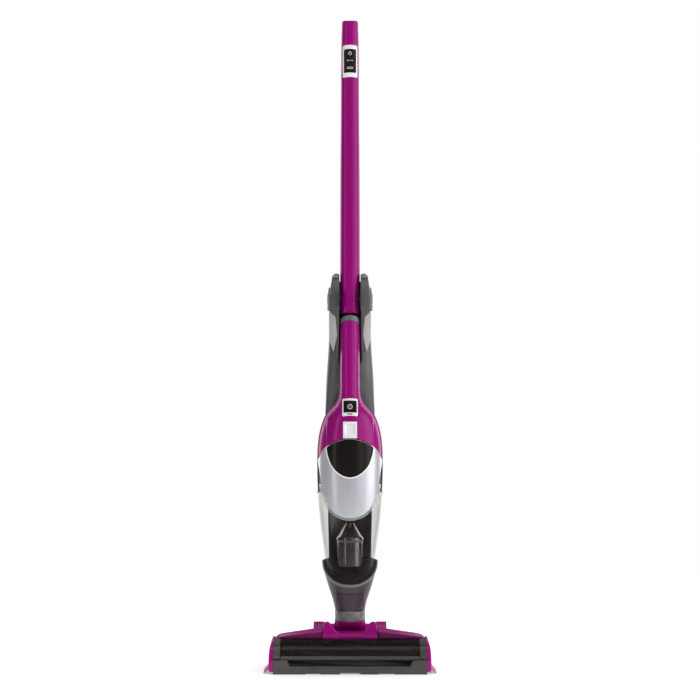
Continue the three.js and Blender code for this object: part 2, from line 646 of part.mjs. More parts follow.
function buildVacInside() {
  const ring = (outer, inner, z0, z1) => barZ(outer, outer, z0, z1, 0, STICK_Y, 24)
    .subtract(barZ(inner, inner, z0 - 1, z1 + 1, 0, STICK_Y, 24));
  const plate = loft([[CUP_TOP_Z + 0.6, 51, 41, STICK_Y], [CUP_TOP_Z + 4, 51, 41, STICK_Y]])
    .subtract(barZ(28, 28, 290, 310, 0, STICK_Y, 24));
  add('filter_frame', plate.add(ring(33, 30.6, CUP_TOP_Z + 3, 324)), black);

  const pleats = 20;
  const star = new THREE.Shape();
  for (let i = 0; i < 2 * pleats; i += 1) {
    const angle = (i * Math.PI) / pleats;
    const radius = i % 2 === 0 ? 30 : 23;
    const point = [radius * Math.cos(angle), radius * Math.sin(angle)];
    if (i === 0) star.moveTo(...point);
    else star.lineTo(...point);
  }
  star.closePath();
  const pleated = floorPrism(star, CUP_TOP_Z + 5, 322).translate([0, STICK_Y, 0]);
  const core = barZ(19, 19, CUP_TOP_Z, 318, 0, STICK_Y, 24);
  add('filter_pleats', pleated.subtract(core), paper);

  let fan = barZ(24, 24, 328, 329.6, 0, STICK_Y, 24).add(barZ(8, 6, 329, 337, 0, STICK_Y, 20));
  const blades = 7;
  for (let i = 0; i < blades; i += 1) {
    const blade = block(6, 23, -0.7, 0.7, 329, 336);
    fan = fan.add(blade.rotate([0, 0, (i * 360) / blades]).translate([0, STICK_Y, 0]));
  }
  fan = fan.add(barZ(1.9, 1.9, 336, 346, 0, STICK_Y, 12));
  add('fan', fan, black);
  const motor = barZ(22, 22, 339, 378, 0, STICK_Y, 24)
    .subtract(barZ(2.2, 2.2, 338, 350, 0, STICK_Y, 12));
  add('suction_motor', motor, steel);

  let pack = block(-9.4, 9.4, STICK_Y - 9.4, STICK_Y + 9.4, 382, 445);
  for (const x of [-9.4, 9.4]) {
    for (const y of [-9.4, 9.4]) {
      pack = pack.add(barZ(9.1, 9.1, 381, 446, x, STICK_Y + y, 16));
    }
  }
  add('battery_pack', pack, lightGrey);
  add('circuit_board', block(-11, 11, STICK_Y + 2, STICK_Y + 3.6, 470, 556), darkGrey);
}

function buildCup() {
  const cupZone = block(-80, 80, -60, 90, 60, CUP_TOP_Z);
  const aboveSeat = block(-80, 80, -60, 90, 60, 400).subtract(belowSeat(0));
  const silverZone = (y1) => frontPrism(half(SILVER_EDGE), -60, y1);
  const badgeZone = frontPrism(half(BADGE_EDGE), -60, STICK_Y);
  const pocket = vac(3).subtract(vac(-PLATE_DEPTH - GAP)).intersect(silverZone(STICK_Y));

  const wall = vac(0).subtract(vac(-CUP_WALL));
  const floorPlate = vac(-1).intersect(belowSeat(-3));
  const inlet = barZ(NECK.bore, NECK.bore, 60, 260, 0, STICK_Y, 20);
  const cup = wall.add(floorPlate).intersect(cupZone).intersect(aboveSeat).subtract(inlet).subtract(pocket);
  add('dirt_cup', cup, smoked);

  const plateSkin = vac(0).subtract(vac(-PLATE_DEPTH));
  const silverPlate = plateSkin.intersect(silverZone(STICK_Y - GAP / 2)).subtract(badgeZone)
    .intersect(block(-80, 80, -60, STICK_Y, 200, 400));
  add('silver_plate', silverPlate, silver);

  const inner = BADGE_EDGE.map(([x, z]) => [x === 0 ? 0 : x - GAP, z < 375 ? z + GAP : z - GAP]);
  const badge = vac(0.2).subtract(vac(-PLATE_DEPTH)).intersect(frontPrism(half(inner), -60, STICK_Y));
  add('badge_cover', badge, black);

  const duct = barZ(23, 23, 150, 217.6, 0, STICK_Y, 24).subtract(inlet).subtract(belowSeat(-3 - GAP));
  const window = block(-15, 15, STICK_Y - 40, STICK_Y, 219, 231);
  const cone = barZ(23, 7, 217.5, 242, 0, STICK_Y, 24).subtract(barZ(20.6, 5, 216.9, 239.5, 0, STICK_Y, 24));
  add('inlet_duct', duct.add(cone.subtract(window)), clear);
  add('inlet_flap', block(-FLAP.halfWidth, FLAP.halfWidth, STICK_Y - FLAP.reach, STICK_Y + FLAP.reach,
    FLAP.z, FLAP.z + FLAP.thickness), rubber);
}

buildFoot();
buildNeck();
buildFrame();
buildHandle();
buildHandVac();
buildCup();

export default object;
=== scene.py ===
"""Looks of a cordless stick vacuum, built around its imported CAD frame.

Lengths in the tables are millimetres and are turned into metres when a mesh is made. X is to the
right as seen from the front, -Y is the front and +Z is up.
"""

import logging
import math
from dataclasses import dataclass
from enum import Enum
from typing import Any, Callable, Sequence

import bmesh
import bpy
import numpy as np
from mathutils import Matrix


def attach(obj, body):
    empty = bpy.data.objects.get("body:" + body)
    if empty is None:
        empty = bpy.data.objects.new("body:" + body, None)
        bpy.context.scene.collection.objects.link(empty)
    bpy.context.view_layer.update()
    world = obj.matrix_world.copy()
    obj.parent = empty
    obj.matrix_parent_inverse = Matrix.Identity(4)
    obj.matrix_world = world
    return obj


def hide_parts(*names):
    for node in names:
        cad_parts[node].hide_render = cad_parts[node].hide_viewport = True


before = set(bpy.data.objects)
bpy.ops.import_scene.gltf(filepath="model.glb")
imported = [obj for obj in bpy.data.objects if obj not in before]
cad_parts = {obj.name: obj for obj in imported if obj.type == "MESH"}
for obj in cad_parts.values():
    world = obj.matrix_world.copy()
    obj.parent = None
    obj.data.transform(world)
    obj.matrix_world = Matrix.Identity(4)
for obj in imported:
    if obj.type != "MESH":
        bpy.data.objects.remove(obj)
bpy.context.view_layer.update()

MM = 0.001
STICK_Y = 20.0
HANDLE_Y = 30.0
HINGE_Y, HINGE_Z = 24.0, 632.0
SEAT_Y, SEAT_Z, SEAT_SLOPE, SEAT_BEND = -14.0, 138.0, 0.97, 24.0
OPENING = 0.52
WELD = 2e-6
SHARP_ANGLE = math.radians(38)
BEVEL_ANGLE = math.radians(28)
FLAT_ANGLE = math.radians(1.5)

log = logging.getLogger("stick_vacuum")

Array = np.ndarray
Mesh = tuple[Array, Array]
Place = Callable[[Array, Array], Array]
Rule = Callable[..., Array]
Colour = tuple[float, float, float]


# ---------------------------------------------------------------- shader nodes


def paint(red: int, green: int, blue: int) -> Colour:
    """Turns screen levels from 0 to 255 into the light values that a shader takes.

    Args:
        red: Red level.
        green: Green level.
        blue: Blue level.

    Returns:
        The three light values, each ((level / 255 + 0.055) / 1.055) to the power 2.4.
    """
    levels = np.array([red, green, blue]) / 255
    light = np.where(levels <= 0.04045, levels / 12.92, ((levels + 0.055) / 1.055) ** 2.4)
    return tuple(float(v) for v in light)


class Value:
    """A number that a node gives out. Sums on it add Math nodes."""

    def __init__(self, tree: "Tree", socket: bpy.types.NodeSocket) -> None:
        """Keeps the tree that new nodes go into, and the socket."""
        self.tree = tree
        self.socket = socket

    def _maths(self, operation: str, first: Any, second: Any) -> "Value":
        """Adds one Math node with that operation."""
        return self.tree.number("ShaderNodeMath", {"operation": operation}, {0: first, 1: second})

    def __add__(self, other: Any) -> "Value":
        """Returns this value plus the other."""
        return self._maths("ADD", self, other)

    __radd__ = __add__

    def __sub__(self, other: Any) -> "Value":
        """Returns this value less the other."""
        return self._maths("SUBTRACT", self, other)

    def __rsub__(self, other: Any) -> "Value":
        """Returns the other less this value."""
        return self._maths("SUBTRACT", other, self)

    def __mul__(self, other: Any) -> "Value":
        """Returns this value times the other."""
        return self._maths("MULTIPLY", self, other)

    __rmul__ = __mul__

    def power(self, exponent: float) -> "Value":
        """Returns this value raised to the exponent."""
        return self._maths("POWER", self, exponent)

    def larger(self, other: Any) -> "Value":
        """Returns the larger of this value and the other."""
        return self._maths("MAXIMUM", self, other)

    def step(self, low: float, high: float) -> "Value":
        """Returns 0 below low, 1 above high and a smooth rise between them."""
        settings = {"interpolation_type": "SMOOTHSTEP"}
        sockets = {"Value": self, "From Min": low, "From Max": high}
        return self.tree.number("ShaderNodeMapRange", settings, sockets)


class Tree:
    """The nodes of one material, ending in a Principled shader."""

    def __init__(self, name: str) -> None:
        """Makes an empty material with its shader and output."""
        self.material = bpy.data.materials.new(name)
        self.material.use_nodes = True
        self.nodes = self.material.node_tree.nodes
        self.links = self.material.node_tree.links
        self.nodes.clear()
        self.shader = self.make("ShaderNodeBsdfPrincipled")
        output = self.make("ShaderNodeOutputMaterial")
        self.links.new(self.shader.outputs[0], output.inputs[0])
        self.place = self.make("ShaderNodeTexCoord").outputs["Object"]

    def make(self, kind: str, settings: dict | None = None,
             sockets: dict | None = None) -> bpy.types.Node:
        """Adds a node, gives it its settings, and then fills its sockets.

        Args:
            kind: The node's type.
            settings: Properties of the node, set before its sockets.
            sockets: Values or links by socket name or number.

        Returns:
            The new node.
        """
        node = self.nodes.new(kind)
        for name, value in (settings or {}).items():
            setattr(node, name, value)
        for key, value in (sockets or {}).items():
            self._feed(node.inputs[key], value)
        return node

    def _feed(self, socket: bpy.types.NodeSocket, value: Any) -> None:
        """Links a value into the socket, or sets the socket's number, vector or colour."""
        source = value.socket if isinstance(value, Value) else value
        if isinstance(source, bpy.types.NodeSocket):
            self.links.new(source, socket)
        elif socket.type == "RGBA" and len(value) == 3:
            socket.default_value = (*value, 1.0)
        else:
            socket.default_value = value

    def number(self, kind: str, settings: dict | None = None, sockets: dict | None = None,
               out: Any = 0) -> Value:
        """Adds a node and returns one of its outputs as a value."""
        return Value(self, self.make(kind, settings, sockets).outputs[out])

    def part(self, axis: int) -> Value:
        """Returns the object's own X, Y or Z in millimetres."""
        return self.number("ShaderNodeSeparateXYZ", None, {0: self.place}, axis) * 1000.0

    def stretched(self, scale: Sequence[float]) -> bpy.types.NodeSocket:
        """Returns the object's own coordinates scaled on each axis."""
        node = self.make("ShaderNodeMapping", None, {"Vector": self.place, "Scale": tuple(scale)})
        return node.outputs[0]

    def noise(self, scale: float, detail: float = 4.0,
              stretch: Sequence[float] | None = None) -> Value:
        """Returns a noise between 0 and 1 whose grains are 1 / scale metres across."""
        where = self.stretched(stretch) if stretch else self.place
        sockets = {"Vector": where, "Scale": scale, "Detail": detail, "Roughness": 0.55}
        return self.number("ShaderNodeTexNoise", None, sockets)

    def specks(self, scale: float) -> Value:
        """Returns the distance to the nearest of many scattered points."""
        return self.number("ShaderNodeTexVoronoi", None, {"Vector": self.place, "Scale": scale})

    def mix(self, share: Any, first: Any, second: Any) -> bpy.types.NodeSocket:
        """Returns a colour that goes from the first to the second as share goes from 0 to 1."""
        colours = [(*c, 1.0) if isinstance(c, tuple) and len(c) == 3 else c for c in (first,
                                                                                      second)]
        node = self.make("ShaderNodeMix", {"data_type": "RGBA"},
                         {0: share, 6: colours[0], 7: colours[1]})
        return node.outputs[2]

    def bump(self, height: Value, strength: float, distance: float) -> bpy.types.NodeSocket:
        """Returns a normal bent by a height, whose full range stands for distance in
        millimetres."""
        sockets = {"Strength": strength, "Distance": distance * MM, "Height": height}
        return self.make("ShaderNodeBump", None, sockets).outputs[0]

    def fill(self, **sockets: Any) -> bpy.types.Material:
        """Fills the shader's sockets, whose names are given with _ for a space."""
        for name, value in sockets.items():
            self._feed(self.shader.inputs[name.replace("_", " ")], value)
        return self.material


# ---------------------------------------------------------------- finishes


@dataclass(frozen=True)
class Moulded:
    """Injection-moulded plastic with a spark-eroded grain, slow colour drift and light rub
    marks."""

    name: str
    slot: str
    colour: Colour
    drift: Colour
    roughness: float = 0.35
    grain: float = 0.25
    coat: float = 0.0
    specular: float = 0.5

    def build(self) -> bpy.types.Material:
        """Returns the material."""
        tree = Tree(self.name)
        slow = tree.noise(9.0, 3.0)
        fine = tree.noise(2600.0, 3.0)
        rubs = tree.noise(60.0, 6.0, (1.0, 1.0, 0.12)).step(0.58, 0.74)
        colour = tree.mix(slow.step(0.35, 0.65), self.colour, self.drift)
        pale = tuple(min(1.0, c * 1.35 + 0.01) for c in self.colour)
        colour = tree.mix(rubs * 0.22, colour, pale)
        rough = slow * 0.05 + fine * 0.06 + rubs * 0.1 + (self.roughness - 0.08)
        return tree.fill(
            Base_Color=colour,
            Roughness=rough,
            Normal=tree.bump(fine + slow * 0.3, self.grain, 0.05),
            Coat_Weight=self.coat,
            Coat_Roughness=0.06,
            Specular_IOR_Level=self.specular,
        )


@dataclass(frozen=True)
class Pearl:
    """Glossy pearl plastic: fine flakes under a clear coat, with faint flow marks along the
    moulding."""

    name: str
    slot: str
    colour: Colour
    deep: Colour
    flake: Colour

    def build(self) -> bpy.types.Material:
        """Returns the material."""
        tree = Tree(self.name)
        flakes = 1.0 - tree.specks(4200.0).step(0.05, 0.32)
        flow = tree.noise(22.0, 4.0, (1.0, 1.0, 0.18))
        slow = tree.noise(6.0, 2.0)
        colour = tree.mix(flow.step(0.3, 0.7), self.colour, self.deep)
        colour = tree.mix(flakes * 0.16, colour, self.flake)
        ripple = tree.noise(130.0, 2.0)
        return tree.fill(
            Base_Color=colour,
            Roughness=flow * 0.06 + flakes * 0.05 + slow * 0.04 + 0.24,
            Metallic=flakes * 0.15,
            Normal=tree.bump(ripple * 0.3 + flakes * 0.12, 0.03, 0.05),
            Coat_Weight=0.22,
            Coat_Roughness=0.1,
            Specular_IOR_Level=0.12,
        )


@dataclass(frozen=True)
class Satin:
    """Silver-painted plastic: metal grains, a faint upright brushing and a soft coat."""

    name: str
    slot: str
    colour: Colour
    shade: Colour
    metal: float = 0.45
    roughness: float = 0.3

    def build(self) -> bpy.types.Material:
        """Returns the material."""
        tree = Tree(self.name)
        lines = tree.noise(700.0, 5.0, (1.0, 1.0, 0.03))
        grains = tree.specks(3000.0)
        colour = tree.mix(lines.step(0.3, 0.7) * 0.5 + grains * 0.3, self.colour, self.shade)
        return tree.fill(
            Base_Color=colour,
            Metallic=self.metal,
            Roughness=lines * 0.1 + grains * 0.05 + (self.roughness - 0.06),
            Normal=tree.bump(lines + grains * 0.4, 0.08, 0.03),
            Coat_Weight=0.25,
            Coat_Roughness=0.15,
        )


@dataclass(frozen=True)
class SeeThrough:
    """Clear or smoked plastic: see-through face on, denser at its edges, where its colour turns
    pale as painted reflection; lightly scuffed."""

    name: str
    slot: str
    tint: Colour
    rim: Colour
    face: float
    edge: float
    dark_above: float = 1e6
    shine: float = 0.4

    def build(self) -> bpy.types.Material:
        """Returns the material."""
        tree = Tree(self.name)
        facing = tree.number("ShaderNodeLayerWeight", None, {"Blend": 0.35}, "Facing")
        turn = facing.power(2.2)
        scuff = tree.noise(90.0, 6.0, (1.0, 1.0, 0.2)).step(0.6, 0.78)
        haze = tree.noise(14.0, 3.0)
        band = tree.part(2).step(self.dark_above - 0.6, self.dark_above + 0.6)
        # Painted reflection: towards grazing angles the colour turns to the pale rim colour.
        colour = tree.mix(turn, self.tint, self.rim)
        colour = tree.mix(band, colour, paint(20, 17, 17))
        clear = turn * (self.edge - self.face) + scuff * 0.05 + haze * 0.04 + self.face
        return tree.fill(
            Base_Color=colour,
            Alpha=clear.larger(band),
            Roughness=scuff * 0.18 + haze * 0.03 + 0.03,
            Normal=tree.bump(haze + scuff * 0.1, 0.04, 0.3),
            Coat_Weight=self.shine / 2,
            Coat_Roughness=0.03,
            Specular_IOR_Level=self.shine,
            IOR=1.49,
        )


@dataclass(frozen=True)
class Metal:
    """Turned or drawn metal with fine lines along X and small stains."""

    name: str
    slot: str
    colour: Colour
    roughness: float = 0.28

    def build(self) -> bpy.types.Material:
        """Returns the material."""
        tree = Tree(self.name)
        lines = tree.noise(900.0, 4.0, (0.04, 1.0, 1.0))
        stains = tree.noise(70.0, 5.0).step(0.45, 0.8)
        dull = tuple(c * 0.6 for c in self.colour)
        return tree.fill(
            Base_Color=tree.mix(stains * 0.6, self.colour, dull),
            Metallic=1.0,
            Roughness=lines * 0.14 + stains * 0.15 + self.roughness,
            Normal=tree.bump(lines, 0.12, 0.03),
        )


@dataclass(frozen=True)
class Fibre:
    """Bristle, rubber, paper or laminate: a matt body with a two-scale grain and streaks."""

    name: str
    slot: str
    colour: Colour
    dark: Colour
    roughness: float = 0.7
    grain_scale: float = 900.0
    depth: float = 0.15
    sheen: float = 0.0
    alpha: float = 1.0

    def build(self) -> bpy.types.Material:
        """Returns the material."""
        tree = Tree(self.name)
        grain = tree.noise(self.grain_scale, 5.0)
        patches = tree.noise(self.grain_scale / 14.0, 3.0)
        colour = tree.mix(patches * 0.6 + grain * 0.3, self.colour, self.dark)
        return tree.fill(
            Base_Color=colour,
            Roughness=grain * 0.15 + patches * 0.08 + (self.roughness - 0.1),
            Normal=tree.bump(grain, 0.35, self.depth),
            Sheen_Weight=self.sheen,
            Alpha=self.alpha,
        )


class Dress(Enum):
    """Every finish on the vacuum, each built once."""

    MAGENTA = Pearl("magenta_pearl", "magenta_plastic", paint(150, 0, 115), paint(138, 0, 106),
                    paint(206, 60, 170))
    DARK_GREY = Moulded("dark_grey_grain", "dark_grey_plastic", paint(88, 87, 87),
                        paint(76, 75, 75), 0.42, 0.3, 0.1)
    MID_GREY = Moulded("mid_grey_satin", "dark_grey_plastic", paint(104, 104, 104),
                       paint(92, 92, 92), 0.36, 0.18, 0.15)
    LIGHT_GREY = Moulded("light_grey_satin", "light_grey_plastic", paint(176, 174, 174),
                         paint(160, 158, 158), 0.36, 0.2, 0.15)
    SOOT = Moulded("soot_grey_grain", "dark_grey_plastic", paint(66, 64, 62), paint(54, 52, 50),
                   0.45, 0.25)
    # Painted shade: brown-black for the sheet that darkens the middle of the cup.
    PAINTED_SHADE = Moulded("painted_shade_brown_black", "smoked_clear_plastic", paint(50, 44, 41),
                    paint(38, 32, 30), 0.34, 0.1, 0.1)
    STEP_GREY = Moulded("step_grey_satin", "light_grey_plastic", paint(134, 133, 133),
                        paint(122, 121, 121), 0.36, 0.2, 0.15)
    WHITE = Moulded("white_gloss", "white_plastic", paint(240, 238, 238), paint(228, 226, 228),
                    0.26, 0.08, 0.4)
    INK = Moulded("black_gloss", "gloss_black_plastic", paint(32, 28, 26), paint(24, 20, 19), 0.24,
                  0.05, 0.04, 0.14)
    BLACK = Moulded("black_grain", "black_plastic", paint(24, 23, 23), paint(16, 15, 15), 0.5, 0.3)
    PLUM = Moulded("plum_satin", "plum_plastic", paint(54, 37, 51), paint(46, 30, 43), 0.38, 0.15,
                   0.1)
    SILVER = Satin("silver_satin", "silver_plastic", paint(206, 207, 213), paint(190, 192, 199))
    # The second colour of each see-through finish is the pale painted reflection at its edges.
    SMOKED = SeeThrough("smoked_clear", "smoked_clear_plastic", paint(34, 29, 26),
                        paint(206, 204, 198), 0.07, 0.5)
    VISOR = SeeThrough("brush_visor", "smoked_clear_plastic", paint(40, 36, 34),
                       paint(150, 146, 140), 0.42, 0.8, 46.4, 0.16)
    WELL = Moulded("brown_black_matt", "smoked_clear_plastic", paint(25, 21, 19), paint(19, 16, 15),
                   0.5, 0.1, 0.0, 0.1)
    DUCT = Moulded("duct_gloss", "clear_plastic", paint(46, 41, 38), paint(36, 31, 29), 0.16, 0.05,
                   1.0, 0.8)
    # Painted highlight: the flange's edges turn pure white and nearly solid.
    FLANGE = SeeThrough("flange_clear_painted_highlight", "clear_plastic", paint(196, 195, 193), paint(255, 255, 255),
                        0.3, 0.95)
    PLUM_GREY = Moulded("plum_grey_satin", "dark_grey_plastic", paint(54, 44, 52),
                        paint(46, 37, 44), 0.34, 0.15, 0.1)
    CLEAR = SeeThrough("water_clear", "clear_plastic", paint(214, 216, 214), paint(252, 252, 252),
                       0.22, 0.9)
    PINK = Fibre("pink_nylon", "pink_bristle", paint(222, 160, 198), paint(196, 112, 168), 0.5,
                 1500.0, 0.05, 0.3, 0.8)
    TUFT = Fibre("dark_nylon", "dark_bristle", paint(58, 52, 52), paint(30, 26, 28), 0.6, 1500.0,
                 0.05, 0.3)
    RUBBER = Fibre("black_rubber", "black_rubber", paint(34, 33, 33), paint(22, 21, 21), 0.85,
                   600.0, 0.2, 0.2)
    STEEL = Metal("drawn_steel", "steel", paint(172, 172, 174))
    CELL = Metal("cell_can", "cell_metal", paint(150, 152, 158), 0.35)
    PAPER = Fibre("filter_paper", "filter_paper", paint(232, 228, 216), paint(206, 200, 186), 0.9,
                  800.0, 0.2)
    LAMINATE = Fibre("green_laminate", "circuit_laminate", paint(30, 84, 52), paint(18, 58, 36),
                     0.4, 400.0, 0.05)

    def material(self) -> bpy.types.Material:
        """Returns this finish's material, made on its first use."""
        found = bpy.data.materials.get(self.value.name)
        return found or self.value.build()


# ---------------------------------------------------------------- surfaces


def soft_line(where: Array, knots: Sequence[float], values: Sequence[float]) -> Array:
    """A smooth curve through points: a cubic between knots whose slope at each knot is that of the
    parabola through it and its neighbours.

    Args:
        where: Places to read the curve at.
        knots: Rising places of the points.
        values: The points' values.

    Returns:
        The curve's values, held at its ends beyond them.
    """
    k, v = np.asarray(knots, float), np.asarray(values, float)
    slope = np.gradient(v, k)
    t = np.clip(where, k[0], k[-1])
    i = np.clip(np.searchsorted(k, t, side="right") - 1, 0, len(k) - 2)
    width = k[i + 1] - k[i]
    s = (t - k[i]) / width
    hold = (1 + 2 * s) * (1 - s) ** 2 * v[i] + s * s * (3 - 2 * s) * v[i + 1]
    return hold + width * (s * (1 - s) ** 2 * slope[i] + s * s * (s - 1) * slope[i + 1])


def rise(where: Array, low: float, high: float) -> Array:
    """Returns 0 below low, 1 above high, and 3 t^2 - 2 t^3 between them."""
    t = np.clip((where - low) / (high - low), 0.0, 1.0)
    return t * t * (3 - 2 * t)


def ridge(where: Array, centre: float, width: float) -> Array:
    """Returns a bell of height 1 about centre: exp of minus the squared distance over width."""
    return np.exp(-(((where - centre) / width) ** 2))


def close_ends(count: int, length: float, edge: float) -> Array:
    """Returns rising values from 0 to 1, with extra ones inside the rounded edge at either end.

    Args:
        count: How many even steps the middle has.
        length: Length in millimetres that the values span.
        edge: Radius of the rounding at each end.
    """
    near = np.array([0.0, 0.04, 0.13, 0.3, 0.58]) * edge / length
    middle = np.linspace(edge / length, 1 - edge / length, count)
    return np.concatenate([near, middle, 1 - near[::-1]])


def edge_drop(t: Array, length: float, edge: float) -> Array:
    """Returns how far a quarter round of that radius has fallen at each value: r - sqrt(r^2 - (r -
    s)^2) where s is the distance to the nearer end."""
    s = np.minimum(np.minimum(t, 1 - t) * length, edge)
    return edge - np.sqrt(np.maximum(edge**2 - (edge - s) ** 2, 0.0))


@dataclass(frozen=True)
class Body:
    """A rounded upright body given by its cross-sections: height, half width, half depth and middle
    y."""

    rows: tuple[tuple[float, float, float, float], ...]
    power: float = 2.2

    def sizes(self, z: Array) -> tuple[Array, Array, Array]:
        """Returns half width, half depth and middle y at each height."""
        table = np.array(self.rows)
        return tuple(soft_line(z, table[:, 0], table[:, k]) for k in (1, 2, 3))

    def skin(self, angle: Array, z: Array, grow: Any = 0.0) -> Array:
        """Points on the body. A section is the curve |x/w|^p + |y/d|^p = 1, met by the ray at each
        angle from the front towards +X.

        Args:
            angle: Angles round the body.
            z: Heights.
            grow: How far the section stands out.

        Returns:
            Points with x, y and z in the last place.
        """
        angle, z, grow = np.broadcast_arrays(angle, z, grow)
        width, depth, middle = self.sizes(z)
        sine, cosine = np.sin(angle), np.cos(angle)
        reach = (np.abs(sine) ** self.power + np.abs(cosine) ** self.power) ** (-1 / self.power)
        return np.stack([sine * reach * (width + grow), middle - cosine * reach * (depth + grow),
                         z], -1)

    def front(self, x: Array, z: Array, grow: Any = 0.0) -> Array:
        """Returns y on the front of the body: middle - d (1 - |x/w|^p)^(1/p)."""
        width, depth, middle = self.sizes(z)
        inside = np.clip(1 - (np.abs(x) / (width + grow)) ** self.power, 0.0, 1.0)
        return middle - (depth + grow) * inside ** (1 / self.power)

    def raised(self, height: float) -> Place:
        """Returns a place on the front of the body, standing out by height."""
        return lambda x, z: np.stack([x, self.front(x, z) - height, z], -1)

    def meet(self, angle: Array, rule: Rule, start: float, grow: float = 0.0) -> Array:
        """Heights at which the body meets a cut z = rule(x, y), by going half way to it forty
        times."""
        z = np.full_like(angle, start)
        for _ in range(40):
            point = self.skin(angle, z, grow)
            z = 0.5 * z + 0.5 * rule(point[..., 0], point[..., 1])
        return z


def level(height: float) -> Rule:
    """Returns a rule that gives the same height everywhere."""
    return lambda *where: height + 0 * where[0]


def upright(y: float) -> Place:
    """Returns a place on the upright plane at that y."""
    return lambda x, z: np.stack([x, np.full_like(x, y), z], -1)


def tilted(knots: Sequence[float], values: Sequence[float]) -> Rule:
    """Returns a rule of straight lines between the values at the knots."""
    return lambda where: np.interp(where, knots, values)


def turn_faces(rows: int, columns: int, wrap_rows: bool = False,
               wrap_columns: bool = False) -> Array:
    """Returns the four corners of each face of a grid of points numbered row by row."""
    r = np.arange(rows if wrap_rows else rows - 1)
    c = np.arange(columns if wrap_columns else columns - 1)
    r0, c0 = np.meshgrid(r, c, indexing="ij")
    r1, c1 = (r0 + 1) % rows, (c0 + 1) % columns
    corners = [r0 * columns + c0, r0 * columns + c1, r1 * columns + c1, r1 * columns + c0]
    return np.stack(corners, -1).reshape(-1, 4)


def looped(grid: Array, wrap_rows: bool = False) -> Mesh:
    """A grid whose columns close round into a ring, and whose first and last rows may join too."""
    rows, columns = grid.shape[:2]
    return grid.reshape(-1, 3), turn_faces(rows, columns, wrap_rows, True)


def walled(outer: Array, inner: Array) -> Mesh:
    """A closed sheet: the outer grid, the inner one and a rim. Its rows run over the outer face,
    round the end, back over the inner face and round again, and its sides are closed by rows of
    faces."""
    rows, columns = outer.shape[:2]
    loop = np.concatenate([outer, inner[::-1]], 0)
    faces = turn_faces(2 * rows, columns, True)
    r = np.arange(rows - 1)
    sides = []
    for c in (0, columns - 1):
        a, b = r * columns + c, (r + 1) * columns + c
        back_a, back_b = (2 * rows - 1 - r) * columns + c, (2 * rows - 2 - r) * columns + c
        sides.append(np.stack([a, back_a, back_b, b], -1))
    return loop.reshape(-1, 3), np.concatenate([faces, *sides])


def joined(*meshes: Mesh) -> Mesh:
    """Puts several closed meshes into one piece."""
    counts = np.cumsum([0] + [len(v) for v, _ in meshes[:-1]])
    return (np.concatenate([v for v, _ in meshes]),
            np.concatenate([f + n for (_, f), n in zip(meshes, counts)]))


def mirror(mesh: Mesh) -> Mesh:
    """Returns the mesh on the other side of the middle, with its faces turned to point outwards."""
    return mesh[0] * [-1, 1, 1], mesh[1][:, ::-1]


def even_outline(points: Sequence[Sequence[float]], count: int = 96, soften: int = 0) -> Array:
    """Points at even distances round a closed outline.

    Args:
        points: Corners in order.
        count: How many points to return.
        soften: How many times each point is moved to the mean of itself and its neighbours.

    Returns:
        The points, two numbers each.
    """
    corner = np.asarray(points, float)
    ring = np.vstack([corner, corner[:1]])
    run = np.concatenate([[0], np.cumsum(np.linalg.norm(np.diff(ring, axis=0), axis=1))])
    at = np.linspace(0, run[-1], count, endpoint=False)
    out = np.stack([np.interp(at, run, ring[:, k]) for k in (0, 1)], -1)
    for _ in range(soften):
        out = 0.5 * out + 0.25 * (np.roll(out, 1, 0) + np.roll(out, -1, 0))
    return out


def rounded_box(half: float, low: float, high: float, corner: float, sag: float = 0.0,
                count: int = 96, middle: float = 0.0) -> Array:
    """An upright box with round corners whose top and bottom arch up by sag at the middle: each
    point is lowered by sag (x / half)^2."""
    turn = np.linspace(0, np.pi / 2, 7)
    arcs = []
    for k, (sx, sz) in enumerate([(1, 1), (-1, 1), (-1, -1), (1, -1)]):
        centre = [sx * (half - corner), (high if sz > 0 else low) - sz * corner]
        angle = turn + k * np.pi / 2
        arcs.append(np.stack([centre[0] + corner * np.cos(angle),
                              centre[1] + corner * np.sin(angle)], -1))
    out = even_outline(np.concatenate(arcs), count)
    out[:, 1] -= sag * (out[:, 0] / half) ** 2
    out[:, 0] += middle
    return out


def inset(outline: Array, distance: Any) -> Array:
    """Moves an outline that runs anticlockwise inwards along its own normals."""
    along = np.roll(outline, -1, 0) - np.roll(outline, 1, 0)
    along /= np.maximum(np.linalg.norm(along, axis=1, keepdims=True), 1e-9)
    return outline + np.stack([-along[:, 1], along[:, 0]], -1) * np.reshape(distance, (-1, 1))


def plaque(outline: Array, top: Place, back: Place, edge: float = 0.6, rings: int = 8) -> Mesh:
    """A closed plate. Rings of points run from its middle to the outline, fall round a quarter
    circle of radius edge, go down the wall, and close at the middle of the back.

    Args:
        outline: Anticlockwise outline, two numbers a point.
        top: Gives a point of the top face for each pair of numbers.
        back: Gives a point of the back face for each pair of numbers.
        edge: Radius of the rounded edge.
        rings: How many rings the flat part has.

    Returns:
        The mesh.
    """
    flat = inset(outline, edge)
    centre = flat.mean(0)
    steps = [(centre + f * (flat - centre), 0.0) for f in np.linspace(0, 1, rings)]
    for turn in np.linspace(0.2, 1, 5) * np.pi / 2:
        steps.append((inset(outline, edge * (1 - np.sin(turn))), edge * (1 - np.cos(turn))))
    rows = []
    for pair, fall in steps:
        high, low = top(pair[:, 0], pair[:, 1]), back(pair[:, 0], pair[:, 1])
        down = low - high
        down /= np.maximum(np.linalg.norm(down, axis=1, keepdims=True), 1e-9)
        rows.append(high + down * fall)
    rows.append(back(outline[:, 0], outline[:, 1]))
    rows.append(np.broadcast_to(back(*centre.reshape(2, 1)), rows[0].shape))
    return looped(np.stack(rows))


